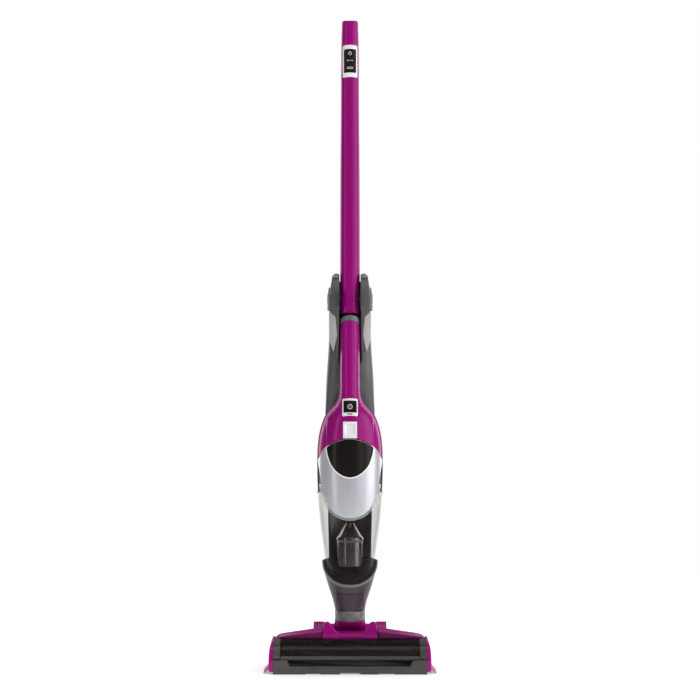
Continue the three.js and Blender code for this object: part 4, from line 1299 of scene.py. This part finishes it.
@dataclass
class DirtCup:
    """The smoked dirt cup with its inlet duct, silver plate, glossy badge and clear flange."""

    top: float = 296.0
    wall: float = 2.6

    def _seat(self, x: Array, y: Array) -> Array:
        """Height of the slanted lower end."""
        return seat_height(y, 0.6)

    def build(self) -> None:
        """Builds the cup."""
        self._cup()
        self._plate()
        self._badge()
        self._duct()

    def _cup(self) -> None:
        """Builds the smoked wall, its floor and the pale ring round its mouth. A dark sheet inside
        its
        back is painted shade: it darkens the cup's middle, where the spine shows through in shade."""
        angle = np.linspace(-np.pi, np.pi, 120, endpoint=False)
        z0 = VAC_BODY.meet(angle, self._seat, 160)
        z1 = np.full_like(angle, self.top)
        share = close_ends(70, 130.0, 0.8)[:, None]
        z = z0 + (z1 - z0) * share
        drop = edge_drop(share, 130.0, 0.8)
        under = 0.25 * rise(z, 246, 250)
        outer = VAC_BODY.skin(angle, z, -drop - under)
        inner = VAC_BODY.skin(angle, z, -self.wall)
        rows = np.concatenate([outer, inner[::-1]])
        make_piece("cup_wall", looped(rows, True), "dirt_cup", Dress.SMOKED, ["dirt_cup"])
        floor = dished(VAC_BODY, self._seat, (angle, z0), 3.0, (0.0, 3.0))
        make_piece("cup_floor", floor, "dirt_cup", Dress.WELL)
        # Painted shade: a brown-black sheet inside the back of the cup darkens its middle.
        across = np.linspace(-1, 1, 60)
        guess = np.pi + np.arcsin(across * 0.86)
        lift = np.linspace(0, 1, 50)[:, None]
        low = VAC_BODY.meet(guess, self._seat, 200) + 1.0
        height = low + (self.top - 1.0 - low) * lift
        half = np.interp(height, [110, 172, 212, 296, 400], [31, 41, 46, 55, 55])
        back = np.pi + np.arcsin(across * np.minimum(0.97, 38.0 / half))
        shade_sheet = walled(VAC_BODY.skin(back, height, -self.wall - 0.4),
                       VAC_BODY.skin(back, height, -self.wall - 1.6))
        make_piece("cup_back_painted_shade", shade_sheet, "dirt_cup", Dress.PAINTED_SHADE)
        side = np.linspace(np.radians(57), np.radians(303), 150)
        profile = [(293.6, 0.0), (293.6, 1.0), (294.2, 1.5), (295.4, 1.6), (295.9, 1.3),
                   (296.0, 0.0)]
        ring = np.stack([VAC_BODY.skin(side, height, grow) for height, grow in profile])
        inner_ring = np.stack([VAC_BODY.skin(side, height, -0.6) for height, _ in profile])
        make_piece("cup_mouth_ring", walled(ring, inner_ring), "dirt_cup", Dress.CLEAR)

    def _between(self, low: Callable[[Array], Array], high: Callable[[Array], Array], half: float,
                 lift: float, back: float, edge: float, columns: int = 110, rows: int = 90) -> Mesh:
        """A sheet on the front of the body between two curves of x, with rounded edges. Its columns
        stand at half sin(u), so that they crowd towards its two corners."""
        u = np.linspace(-np.pi / 2, np.pi / 2, columns)
        x = half * np.sin(u)
        z0, z1 = low(np.abs(x)), high(np.abs(x))
        span = np.maximum(z1 - z0, 0.02)
        share = close_ends(rows, float(span.max()), edge)[:, None]
        z = z0 + span * share
        across = np.minimum(share, 1 - share) * span
        side = (half - np.abs(x))[None]
        near = np.minimum(np.minimum(across, side), edge)
        drop = edge - np.sqrt(np.maximum(edge**2 - (edge - near) ** 2, 0))
        x = np.broadcast_to(x, z.shape)
        front = np.stack([x, VAC_BODY.front(x, z) - lift + drop, z], -1)
        rear = np.stack([x, VAC_BODY.front(x, z) + back, z], -1)
        return walled(front, rear)

    def _plate(self) -> None:
        """Builds the silver plate and the clear flange below it."""
        at, height = np.array(SILVER_LOW).T
        low = lambda x: soft_line(x, at, height)
        top_at, top_height = np.array(SHELL_EDGE).T
        high = lambda x: np.maximum(soft_line(x, top_at, top_height) - 1.0, low(x))
        plate = self._between(low, high, 56.2, 0.9, 1.2, 0.7)
        make_piece("silver_skin", plate, "dirt_cup", Dress.SILVER, ["silver_plate"])

        line = even_outline(both_halves([*SILVER_LOW, (40, 420)]), 400, 2)
        path = line[line[:, 1] < 312]
        path = path[np.argsort(path[:, 0])]
        along = np.gradient(path, axis=0)
        along /= np.linalg.norm(along, axis=1, keepdims=True)
        outwards = np.stack([along[:, 1], -along[:, 0]], -1)
        profile = [(0.4, 0.15), (0.6, 0.9), (1.1, 1.3), (1.6, 0.6), (2.8, 0.4), (3.4, 1.5),
                   (4.1, 1.5), (4.5, 1.0), (4.6, 0.1)]
        rows = []
        for distance, height in profile:
            pair = path + outwards * distance
            x = np.clip(pair[:, 0], -54.6, 54.6)
            rows.append(np.stack([x, VAC_BODY.front(x, pair[:, 1]) - height, pair[:, 1]], -1))
        outer = np.stack(rows)
        inner = outer + [0, 1.0, 0]
        inner[..., 1] = np.stack([r[:, 1] + h + 0.5 for r, (_, h) in zip(rows, profile)])
        # The flange's finish paints a white highlight along its edges.
        make_piece("clear_flange", walled(outer, inner), "dirt_cup", Dress.FLANGE)

    def _badge(self) -> None:
        """Builds the glossy badge and the bright line round its lower edge."""
        outline = inset(even_outline(both_halves(BADGE_EDGE), 160, 4), 0.2)
        crown = VAC_BODY.raised(1.7)
        make_piece("badge_skin", plaque(outline, crown, VAC_BODY.raised(-1.4), 0.9, 14), "dirt_cup",
                   Dress.INK, ["badge_cover"])
        width = 0.05 + 2.3 * (1 - rise(outline[:, 1], 370, 380))
        rim = ring_frame(inset(outline, -width), inset(outline, 0.1), VAC_BODY.raised(2.0),
                         VAC_BODY.raised(-1.0), 0.5)
        make_piece("badge_rim", rim, "dirt_cup", Dress.WHITE)

    def _duct(self) -> None:
        """Builds the inlet duct with its ring and cone, and dresses the flap under it."""
        duct = [(20.6, 168), (23, 168), (23, 209.5), (23.9, 210.2), (24.2, 212), (24.2, 216),
                (23.6, 217.6), (21.5, 219.6), (8.2, 241.2), (6.4, 242.4), (3.0, 242.6),
                (3.0, 240.8), (6.2, 240.2), (20.4, 217.0), (20.6, 212)]
        make_piece("duct_skin", turned(duct, Axis.Z, (0, STICK_Y, 0), 72, True), "dirt_cup",
                   Dress.DUCT, ["inlet_duct"])
        dress_nodes({"inlet_flap": Dress.RUBBER})


# ---------------------------------------------------------------- neck


@dataclass
class Neck:
    """The grey socket that holds the cup, its plum panel and collar, and the magenta elbow."""

    body: Body = Body(((90.4, 26.5, 25.5, STICK_Y), (96, 27.4, 26, STICK_Y),
                       (134, 38.6, 33.5, STICK_Y), (150, 43.2, 37, STICK_Y),
                       (164, 46.6, 40, STICK_Y), (205, 48, 44, STICK_Y)))
    throat: Body = Body(((40, 33, 13, 42), (44, 33, 15, 41), (56, 30, 21, 31), (66, 27.4, 25, 22.5),
                         (72.7, 26.6, 26.2, STICK_Y)))
    pivot: tuple[float, float] = (42.0, 44.0)

    def _rim(self, x: Array, y: Array) -> Array:
        """Height of the slanted rim."""
        return seat_height(y, 1.0)

    def build(self) -> None:
        """Builds the neck."""
        angle = np.linspace(-np.pi, np.pi, 128, endpoint=False)
        z1 = self.body.meet(angle, self._rim, 160)
        z0 = np.full_like(angle, 90.4)
        share = close_ends(60, 70.0, 1.3)[:, None]
        z = z0 + (z1 - z0) * share
        drop = edge_drop(share, 70.0, 1.3)
        flat = self.body.skin(angle, z)
        width = 24.4 - (z - 91) * 0.115
        inside = (1 - rise(np.abs(flat[..., 0]), width - 0.9, width)) * (np.cos(angle) > 0)
        panel = inside * rise(z, 91.4, 92.2) * (1 - rise(z, 121.2, 122.2))
        lip = 0.4 * ridge(z1 - z, 2.2, 1.6)
        outer = self.body.skin(angle, z, lip - drop - 1.4 * panel)
        inner = self.body.skin(angle, z, -3.0)
        make_piece("socket_skin", looped(np.concatenate([outer, inner[::-1]]), True), "frame",
                   Dress.PLUM_GREY, ["neck_socket"])
        lips = [(-5.6, 0.1), (-5.4, 0.7), (-4.9, 0.95), (-1.6, 0.95), (-0.5, 0.6), (-0.1, -0.3),
                (0.1, -1.4), (-0.4, -2.4)]
        outer = np.stack([self.body.skin(angle, z1 + lift, grow) for lift, grow in lips])
        inner = np.stack([self.body.skin(angle, z1 + lift, -2.8) for lift, _ in lips])
        make_piece("socket_rim", looped(np.concatenate([outer, inner[::-1]]), True), "frame",
                   Dress.MID_GREY)

        sheet = rounded_box(22.4, 92.2, 121.2, 1.2)
        sheet[:, 0] *= 1.06 - (sheet[:, 1] - 92.2) * 0.0042
        panel_mesh = plaque(sheet, self.body.raised(-0.7), self.body.raised(-2.4), 0.4, 12)
        make_piece("plum_panel", panel_mesh, "frame", Dress.PLUM, ["neck_panel"])
        collar = [(20.2, 73.2), (25.8, 73.2), (26.3, 73.7), (26.4, 78), (26.4, 88), (26.0, 89.2),
                  (25.4, 89.8), (25.4, 92.0), (20.2, 92.0)]
        make_piece("neck_collar", turned(collar, Axis.Z, (0, STICK_Y, 0), 80, True), "frame",
                   Dress.MID_GREY)
        dish = dished(self.body, self._rim, (angle, z1), 2.9, (-3.6, -1.4))
        make_piece("seat_dish", dish, "frame", Dress.BLACK, ["seat_plate"])
        self._elbow()

    def _elbow(self) -> None:
        """Builds the elbow: a throat that leans back into a round barrel."""
        bulge = lambda angle, z: 0.5 * ridge(z, 58.0, 5.0) + 0.0 * angle
        throat = capped(self.throat, level(42.0), level(72.7), (42, 72.7), 0.8, 50, 96, bulge)
        y, z = self.pivot
        barrel = [(0, -37), (15.6, -37), (16.7, -36.4), (17, -35.4), (17, 35.4), (16.7, 36.4),
                  (15.6, 37), (0, 37)]
        trunnion = [(0, -45.9), (7.2, -45.9), (8, -45.2), (8, 45.2), (7.2, 45.9), (0, 45.9)]
        make_piece("elbow_skin", joined(throat, turned(barrel, Axis.X, (0, y, z), 64),
                                        turned(trunnion, Axis.X, (0, y, z), 40)), "elbow",
                   Dress.MAGENTA, ["elbow"])


# ---------------------------------------------------------------- floor head


@dataclass
class FloorHead:
    """The wide powered head: covers, clear window, bumper, brush roll, edge brushes and wheels."""

    front: float = -84.0
    half: float = 129.0
    window_rear: float = -48.0
    roll: tuple[float, float] = (-54.0, 24.0)

    def build(self) -> None:
        """Builds the floor head."""
        self._cover()
        self._window()
        self._comb()
        self._bumper()
        self._caps()
        self._roll()
        self._wheels()
        dress_nodes({"sole_plate": Dress.BLACK, "brush_motor": Dress.STEEL,
                     "motor_pulley": Dress.STEEL, "drive_belt": Dress.RUBBER,
                     "brush_bearing_left": Dress.STEEL, "brush_bearing_right": Dress.STEEL,
                     "rear_axle": Dress.STEEL, "hinge_pin": Dress.BLACK,
                     "charge_socket": Dress.BLACK})

    def _cover(self) -> None:
        """Builds the sloping magenta cover on each side, and the centre piece with its knuckles.
        Two posts with a bar between them stand in front of the elbow."""
        for name, sign in (("right", 1.0), ("left", -1.0)):
            x = 47.3 + (self.half - 47.3) * close_ends(60, 82.0, 1.0)
            t = np.concatenate([np.linspace(0, 0.05, 5), np.linspace(0.08, 1, 50)])[:, None]
            rear = np.interp(x, [56, 130], [14.0, -8.0])
            front = self.window_rear + 0.4
            run = np.minimum(t / 0.62, 1.0)
            fall = np.maximum((t - 0.62) / 0.38, 0.0)
            y = front + (rear - front) * np.sin(np.minimum(run, 1) * np.pi / 2) ** 0.9
            crest = np.interp(x, [47, 112, 124], [67.4, 59.6, 57.2]) - 4.6 * rise(x, 120, 129)
            hump = soft_line(run, [0, 0.1, 0.4, 0.72, 0.92, 1.0],
                             [-2.0, 0.0, -2.6, -7.4, -14.0, -21.0])
            z = crest + hump - fall * 40.0
            z = np.maximum(z, 6.5)
            outer = np.stack(np.broadcast_arrays(x * sign, y, z), -1)
            inner = outer - [0, 0, 2.0]
            inner[..., 1] -= 2.0 * np.broadcast_to(run, z.shape)
            mesh = walled(outer, inner)
            replaces = ["head_cover"] if sign > 0 else []
            make_piece(f"cover_{name}", mesh, "foot", Dress.MAGENTA, replaces)
        rounded_copy("centre_cover", "foot", Dress.MAGENTA, 1.1)
        face = lambda u, v: np.stack([u, -46.4 + (v - 50) * 0.16, v], -1)
        rear = upright(-30.0)
        post = even_outline([(20, 50), (47.6, 50), (48.3, 54), (45, 75.4), (43.2, 77.8), (38.4, 79),
                             (35.2, 77.4), (21, 60.4)], 120, 3)
        side = plaque(post, face, rear, 1.5, 12)
        bar = plaque(rounded_box(24.0, 50.0, 57.4, 1.4), lambda u, v: face(u, v) + [0, 1.2, 0],
                     rear, 1.4, 10)
        make_piece("centre_saddle", joined(side, mirror(side), bar), "foot", Dress.MAGENTA)

    def _arc(self, share: Array) -> tuple[Array, Array]:
        """Returns y and z along the window's curve from its lower front edge to its rear edge."""
        at = [0, 0.16, 0.33, 0.47, 0.66, 0.86, 1.0]
        return (soft_line(share, at, [-83.4, -82.6, -80, -75, -67, -57.5, -50.4]),
                soft_line(share, at, [26.4, 33, 40, 45.6, 50, 52.8, 53.6]))

    def _curved(self, x: Array, low: float, high: float, lift: Any, thickness: float,
                rows: int = 60, edge: float = 0.5) -> Mesh:
        """A sheet that follows the window's curve, between two shares of it."""
        share = low + (high - low) * close_ends(rows, 60.0 * (high - low), edge)[:, None]
        y, z = self._arc(share)
        dy, dz = np.gradient(y[:, 0], share[:, 0]), np.gradient(z[:, 0], share[:, 0])
        size = np.hypot(dy, dz)
        out = np.stack([-dz / size, dy / size], -1)[:, None]
        local = (share - low) / (high - low)
        drop = np.maximum(edge_drop(local, 60.0 * (high - low), edge),
                          edge_drop((x - x[0]) / (x[-1] - x[0]), float(x[-1] - x[0]), edge)[None])
        far = np.broadcast_to(lift(share) if callable(lift) else lift, drop.shape) - drop
        flat = np.stack(np.broadcast_arrays(x[None], y, z), -1)
        outer, inner = flat.copy(), flat.copy()
        outer[..., 1] += out[..., 0] * far
        outer[..., 2] += out[..., 1] * far
        inner[..., 1] -= out[..., 0] * thickness
        inner[..., 2] -= out[..., 1] * thickness
        return walled(outer, inner)

    def _window(self) -> None:
        """Builds the clear window with its bright bend line, and the grey frame at each end."""
        x = -self.half + 2 * self.half * close_ends(120, 258.0, 0.5)
        bead = lambda share: 0.8 * ridge(share, 0.5, 0.016) + 0.25 * ridge(share, 0.62, 0.05)
        make_piece("window_skin", self._curved(x, 0.0, 1.0, bead, 1.8, 110), "foot", Dress.VISOR,
                   ["brush_window"])
        ends = 117.6 + 11.2 * close_ends(14, 11.2, 0.4)
        make_pair("window_end", self._curved(ends, 0.0, 0.98, 0.45, 0.4, 50, 0.4), "foot",
                  Dress.SOOT)
        strip = -116.0 + 232.0 * close_ends(60, 232.0, 0.3)
        make_piece("window_hem", self._curved(strip, 0.004, 0.10, 0.5, 0.3, 20, 0.3), "foot",
                   Dress.SOOT)

    def _box_rows(self, centres: Array, size: Array) -> Mesh:
        """Many small blocks, each a rounded ring of eight points carried from back to front."""
        c = 0.72
        ring = np.array([[1, c], [c, 1], [-c, 1], [-1, c], [-1, -c], [-c, -1], [c, -1], [1, -c]])
        rows = []
        for depth, scale in ((-1.0, 0.0), (-1.0, 0.86), (-0.86, 1.0), (1.0, 1.0), (1.0, 0.0)):
            rows.append(np.stack([ring[:, 0] * scale, np.full(8, depth), ring[:, 1] * scale], -1))
        cell = np.stack(rows)
        points = centres[:, None, None] + cell[None] * np.asarray(size)[:, None, None] / 2
        face = turn_faces(5, 8, False, True)
        faces = face[None] + (np.arange(len(centres)) * 40)[:, None, None]
        return points.reshape(-1, 3), faces.reshape(-1, 4)

    def _comb(self) -> None:
        """Builds the row of small cooling ribs along the front edge of each cover, with a black
        strip behind them as painted shade between the ribs.
        """
        x = np.arange(51.0, 113.0, 2.8)
        x = np.concatenate([-x[::-1], x])
        top = np.interp(np.abs(x), [48, 112], [64.8, 57.2])
        sizes = np.stack([np.full_like(x, 0.95), np.full_like(x, 3.0), top - 52.8], -1)
        centres = np.stack([x, np.full_like(x, -47.0), (top + 52.8) / 2], -1)
        make_piece("comb_ribs", self._box_rows(centres, sizes), "foot", Dress.MAGENTA)
        # Painted shade: a black strip behind the ribs darkens the gaps between them.
        x = 49.0 + 66.0 * close_ends(20, 66.0, 0.3)
        top = np.interp(x, [48, 112], [65.0, 57.4])[None]
        z = 52.4 + (top - 52.4) * np.array([0.0, 0.1, 0.9, 1.0])[:, None]
        y = np.array([-47.0, -47.2, -46.6, -46.2])[:, None]
        outer = np.stack(np.broadcast_arrays(x, y, z), -1)
        make_pair("comb_painted_shade", walled(outer, outer + [0, 1.6, 0]), "foot", Dress.BLACK)

    def _bumper(self) -> None:
        """Builds the grey bumper, whose lower edge has shallow feet and whose ends stand taller."""
        x = np.unique(np.concatenate([-self.half + 2 * self.half * close_ends(120, 258.0, 0.8),
                                      np.array([s * v for s in (-1, 1) for v in
                                                (15, 19, 48, 50, 74, 76, 101, 102, 103, 104,
                                                 105.5)])]))
        a = np.abs(x)
        low = np.interp(a, [15, 19, 48, 50, 74, 76], [2.4, 0.0, 0.0, 1.2, 1.2, 0.0])
        high = np.interp(a, [101, 105.5], [13.4, 24.0])
        share = close_ends(16, 16.0, 0.9)[:, None]
        z = low + (high - low) * share
        around = (x - x[0]) / (x[-1] - x[0])
        drop = np.maximum(edge_drop(share, 16.0, 0.9), edge_drop(around, 258.0, 0.8)[None])
        step = 0.7 * rise(z, 9.6, 10.4) * (1 - rise(a, 97, 101))
        outer = np.stack(np.broadcast_arrays(x, self.front + drop + step, z), -1)
        inner = np.stack(np.broadcast_arrays(x, self.front + 5.4, z), -1)
        make_piece("bumper_skin", walled(outer, inner), "foot", Dress.SOOT, ["front_bumper"])
        for name, sign in (("right", 1.0), ("left", -1.0)):
            notch = rounded_box(5.2, 8.0, 9.8, 0.8, 0.0, 64, sign * 58.0)
            make_piece(f"bumper_notch_{name}",
                       plaque(notch, upright(self.front + 0.02), upright(self.front + 2.0), 0.1, 4),
                       "foot", Dress.INK)
        tray = np.array([[-118.5, 118.5]]).T
        lip = np.stack([tray[:, 0], np.full(2, -77.9), np.full(2, 24.0)], -1)
        outer = np.stack([lip + [0, 0, 2.6], lip + [0, -3.4, 2.2], lip + [0, -3.6, 0.6]])
        inner = np.stack([lip + [0, 1.2, 1.2], lip + [0, -2.4, 0.6], lip + [0, -2.6, -0.4]])
        make_piece("mouth_lip", walled(outer, inner), "foot", Dress.SOOT)

    def _caps(self) -> None:
        """Builds the magenta end caps and the pink edge brush on each."""
        side = [(-82, 3), (0, 3), (2, 12), (-2, 42), (-20, 53), (-50, 55.6), (-68, 51), (-80, 40),
                (-83.6, 20)]
        outline = even_outline(side, 160, 6)
        wide = lambda z: soft_line(z, [0, 34, 46, 52, 56], [136, 136, 134.4, 132, 130])
        outer = lambda y, z: np.stack([wide(z), y, z], -1)
        back = lambda y, z: np.stack([np.full_like(y, 129.2), y, z], -1)
        cap = plaque(outline, outer, back, 2.0, 16)
        make_pair("end_cap_skin", cap, "foot", Dress.MAGENTA, "end_cap")
        seed = np.random.default_rng(7)
        y = np.linspace(-80, -46, 60)
        roots, tips = [], []
        for height, reach, drop in ((12.4, 143.6, 3.0), (10.4, 144.8, 1.6), (8.4, 145.2, 0.8)):
            wave = seed.normal(0, 0.35, (len(y), 2))
            roots.append(np.stack([np.full_like(y, 135.4), y, np.full_like(y, height)], -1))
            tips.append(np.stack([np.minimum(reach + wave[:, 0], 145.6), y + wave[:, 1],
                                  np.maximum(drop + wave[:, 0] * 0.4, 0.3)], -1))
        bristles = spikes(np.concatenate(roots), np.concatenate(tips), 0.42)
        make_pair("edge_bristles", bristles, "foot", Dress.PINK, "edge_brush")

    def _roll(self) -> None:
        """Builds the brush roll: a plain round core with stepped ends, four twisted rows of
        bristles and its drive pulley."""
        y, z = self.roll
        core = [(0, -126), (4.9, -126), (4.9, -119), (10.4, -118), (11, -117.4), (11, -109.4),
                (13.4, -109), (14, -108.2), (14, 108.2), (13.4, 109.4), (10, 110), (4.9, 110.6),
                (4.9, 126), (0, 126)]
        make_piece("roll_core", turned(core, Axis.X, (0, y, z), 48), "brush", Dress.BLACK,
                   ["brush_roll"])
        seed = np.random.default_rng(11)
        along = np.linspace(-106, 106, 190)
        roots, tips = [], []
        for row in range(4):
            for shift in (-0.06, 0.06):
                angle = np.pi * 0.6 * along / 220 + row * np.pi / 2 + shift
                jitter = seed.normal(0, 0.02, along.shape)
                arm = lambda r, a: np.stack([along, y + r * np.cos(a), z + r * np.sin(a)], -1)
                roots.append(arm(13.2, angle))
                tips.append(arm(20.9, angle + shift * 0.4 + jitter))
        tufts = spikes(np.concatenate(roots), np.concatenate(tips), 0.5, 0.7)
        make_piece("roll_tufts", tufts, "brush", Dress.TUFT)

    def _wheels(self) -> None:
        """Builds the rear wheels, with three grooves round each tread and a stepped hub."""
        tread = [(3.1, 0), (11.5, 0), (11.8, 0.7), (13.6, 0.7), (14.2, 0), (15.2, 0.1), (15.9, 0.9),
                 (16, 2.6), (15.3, 3.0), (15.3, 3.7), (16, 4.1), (16, 6.3), (15.3, 6.7),
                 (15.3, 7.3), (16, 7.7), (16, 9.9), (15.3, 10.3), (15.3, 11.0), (16, 11.4),
                 (15.9, 13.1), (15.2, 13.9), (14.2, 14), (13.6, 13.3), (11.8, 13.3), (11.5, 14),
                 (6.2, 14), (5.8, 13.4), (3.1, 13.4)]
        wheel = turned(tread, Axis.X, (47.6, 68, 16), 64, True)
        make_piece("wheel_right_tyre", wheel, "wheel_right", Dress.RUBBER, ["rear_wheel_right"])
        make_piece("wheel_left_tyre", mirror(wheel), "wheel_left", Dress.RUBBER,
                   ["rear_wheel_left"])


# ---------------------------------------------------------------- studio


@dataclass
class Studio:
    """Pale floor, white surroundings, soft panels of light, and the camera in front at half
    height."""

    eye: tuple[float, float, float] = (0.0, -2.45, 0.543)
    lens: float = 72.75

    def build(self) -> None:
        """Builds the studio."""
        scene = bpy.context.scene
        data = bpy.data.cameras.new("camera")
        data.lens = self.lens
        data.sensor_width = 36.0
        camera = bpy.data.objects.new("camera", data)
        camera.location = self.eye
        camera.rotation_euler = (math.pi / 2, 0.0, 0.0)
        scene.collection.objects.link(camera)
        scene.camera = camera
        scene.view_settings.view_transform = "Standard"
        self._world()
        self._floor()
        self._panels()

    def _world(self) -> None:
        """Makes the surroundings white to look at and softer as a source of light. It is dimmer
        still in reflections."""
        world = bpy.data.worlds.new("studio_white")
        world.use_nodes = True
        nodes, links = world.node_tree.nodes, world.node_tree.links
        background = nodes["Background"]
        ray = nodes.new("ShaderNodeLightPath")
        strength = nodes.new("ShaderNodeMapRange")
        links.new(ray.outputs["Is Camera Ray"], strength.inputs["Value"])
        mirrored = nodes.new("ShaderNodeMapRange")
        links.new(ray.outputs["Is Glossy Ray"], mirrored.inputs["Value"])
        mirrored.inputs["To Min"].default_value = 0.4
        mirrored.inputs["To Max"].default_value = 0.12
        links.new(mirrored.outputs[0], strength.inputs["To Min"])
        strength.inputs["To Max"].default_value = 1.0
        links.new(strength.outputs[0], background.inputs["Strength"])
        background.inputs["Color"].default_value = (1.0, 1.0, 1.0, 1.0)
        bpy.context.scene.world = world

    def _floor(self) -> None:
        """Makes the pale floor, faintly mottled."""
        ring = np.linspace(0, 2 * np.pi, 64, endpoint=False)
        radius = np.array([0.0, 400.0, 900.0, 1500.0])[:, None]
        points = np.stack([radius * np.cos(ring), radius * np.sin(ring), 0 * radius * ring - 0.2],
                          -1)
        vertices, faces = looped(points)
        mesh = bpy.data.meshes.new("floor")
        mesh.from_pydata((vertices * MM).tolist(), [], faces.tolist())
        tidy = bmesh.new()
        tidy.from_mesh(mesh)
        bmesh.ops.remove_doubles(tidy, verts=tidy.verts, dist=1e-5)
        tidy.to_mesh(mesh)
        tidy.free()
        tree = Tree("studio_floor")
        cloud = tree.noise(1.2, 3.0)
        away = (tree.part(0).power(2.0) + tree.part(1).power(2.0)).power(0.5)
        tree.fill(Base_Color=tree.mix(cloud * 0.3, (0.93, 0.93, 0.93), (0.9, 0.9, 0.9)),
                  Roughness=0.9, Specular_IOR_Level=0.1, Alpha=1.0 - away.step(450.0, 1400.0),
                  Emission_Color=(1.0, 1.0, 1.0), Emission_Strength=0.32)
        mesh.materials.append(tree.material)
        floor = bpy.data.objects.new("floor", mesh)
        bpy.context.scene.collection.objects.link(floor)

    def _panels(self) -> None:
        """Hangs the soft light panels: place, aim, width, height and power of each."""
        panels = (
            ("right_panel", (1.55, -0.75, 0.85), (0.0, 0.0, 0.55), 1.3, 2.0, 20.0),
            ("left_strip", (-1.25, -1.4, 0.85), (0.0, 0.0, 0.55), 0.3, 2.0, 4.5),
            ("front_right", (1.0, -1.9, 0.85), (0.0, 0.0, 0.55), 0.8, 1.7, 5.5),
            ("top_panel", (0.0, -0.9, 2.5), (0.0, 0.0, 0.3), 1.4, 1.0, 10.0),
            ("back_left", (-1.4, 1.25, 0.9), (0.0, 0.0, 0.5), 0.8, 2.0, 13.0),
            ("back_right", (1.4, 1.25, 0.9), (0.0, 0.0, 0.5), 0.8, 2.0, 13.0),
            ("high_left", (-0.66, 1.5, 1.4), (0.0, 0.0, 0.1), 0.7, 0.6, 2.5),
            ("high_right", (0.66, 1.5, 1.4), (0.0, 0.0, 0.1), 0.7, 0.6, 2.5),
        )
        for name, place, aim, width, height, power in panels:
            data = bpy.data.lights.new(name, "AREA")
            data.shape = "RECTANGLE"
            data.size, data.size_y, data.energy = width, height, power
            lamp = bpy.data.objects.new(name, data)
            offset = np.array(aim) - np.array(place)
            flat = float(np.hypot(offset[0], offset[1]))
            lamp.location = place
            lamp.rotation_euler = (math.pi / 2 + math.atan2(offset[2], flat), 0.0,
                                   math.atan2(offset[1], offset[0]) - math.pi / 2)
            bpy.context.scene.collection.objects.link(lamp)


def main() -> None:
    """Builds the studio and each sub-assembly in turn."""
    logging.basicConfig(level=logging.INFO, format="%(name)s: %(message)s")
    for assembly in (Studio(), Handle(), Frame(), HandVac(), DirtCup(), Neck(), FloorHead()):
        log.info("building %s", type(assembly).__name__)
        assembly.build()


if __name__ == "__main__":
    main()
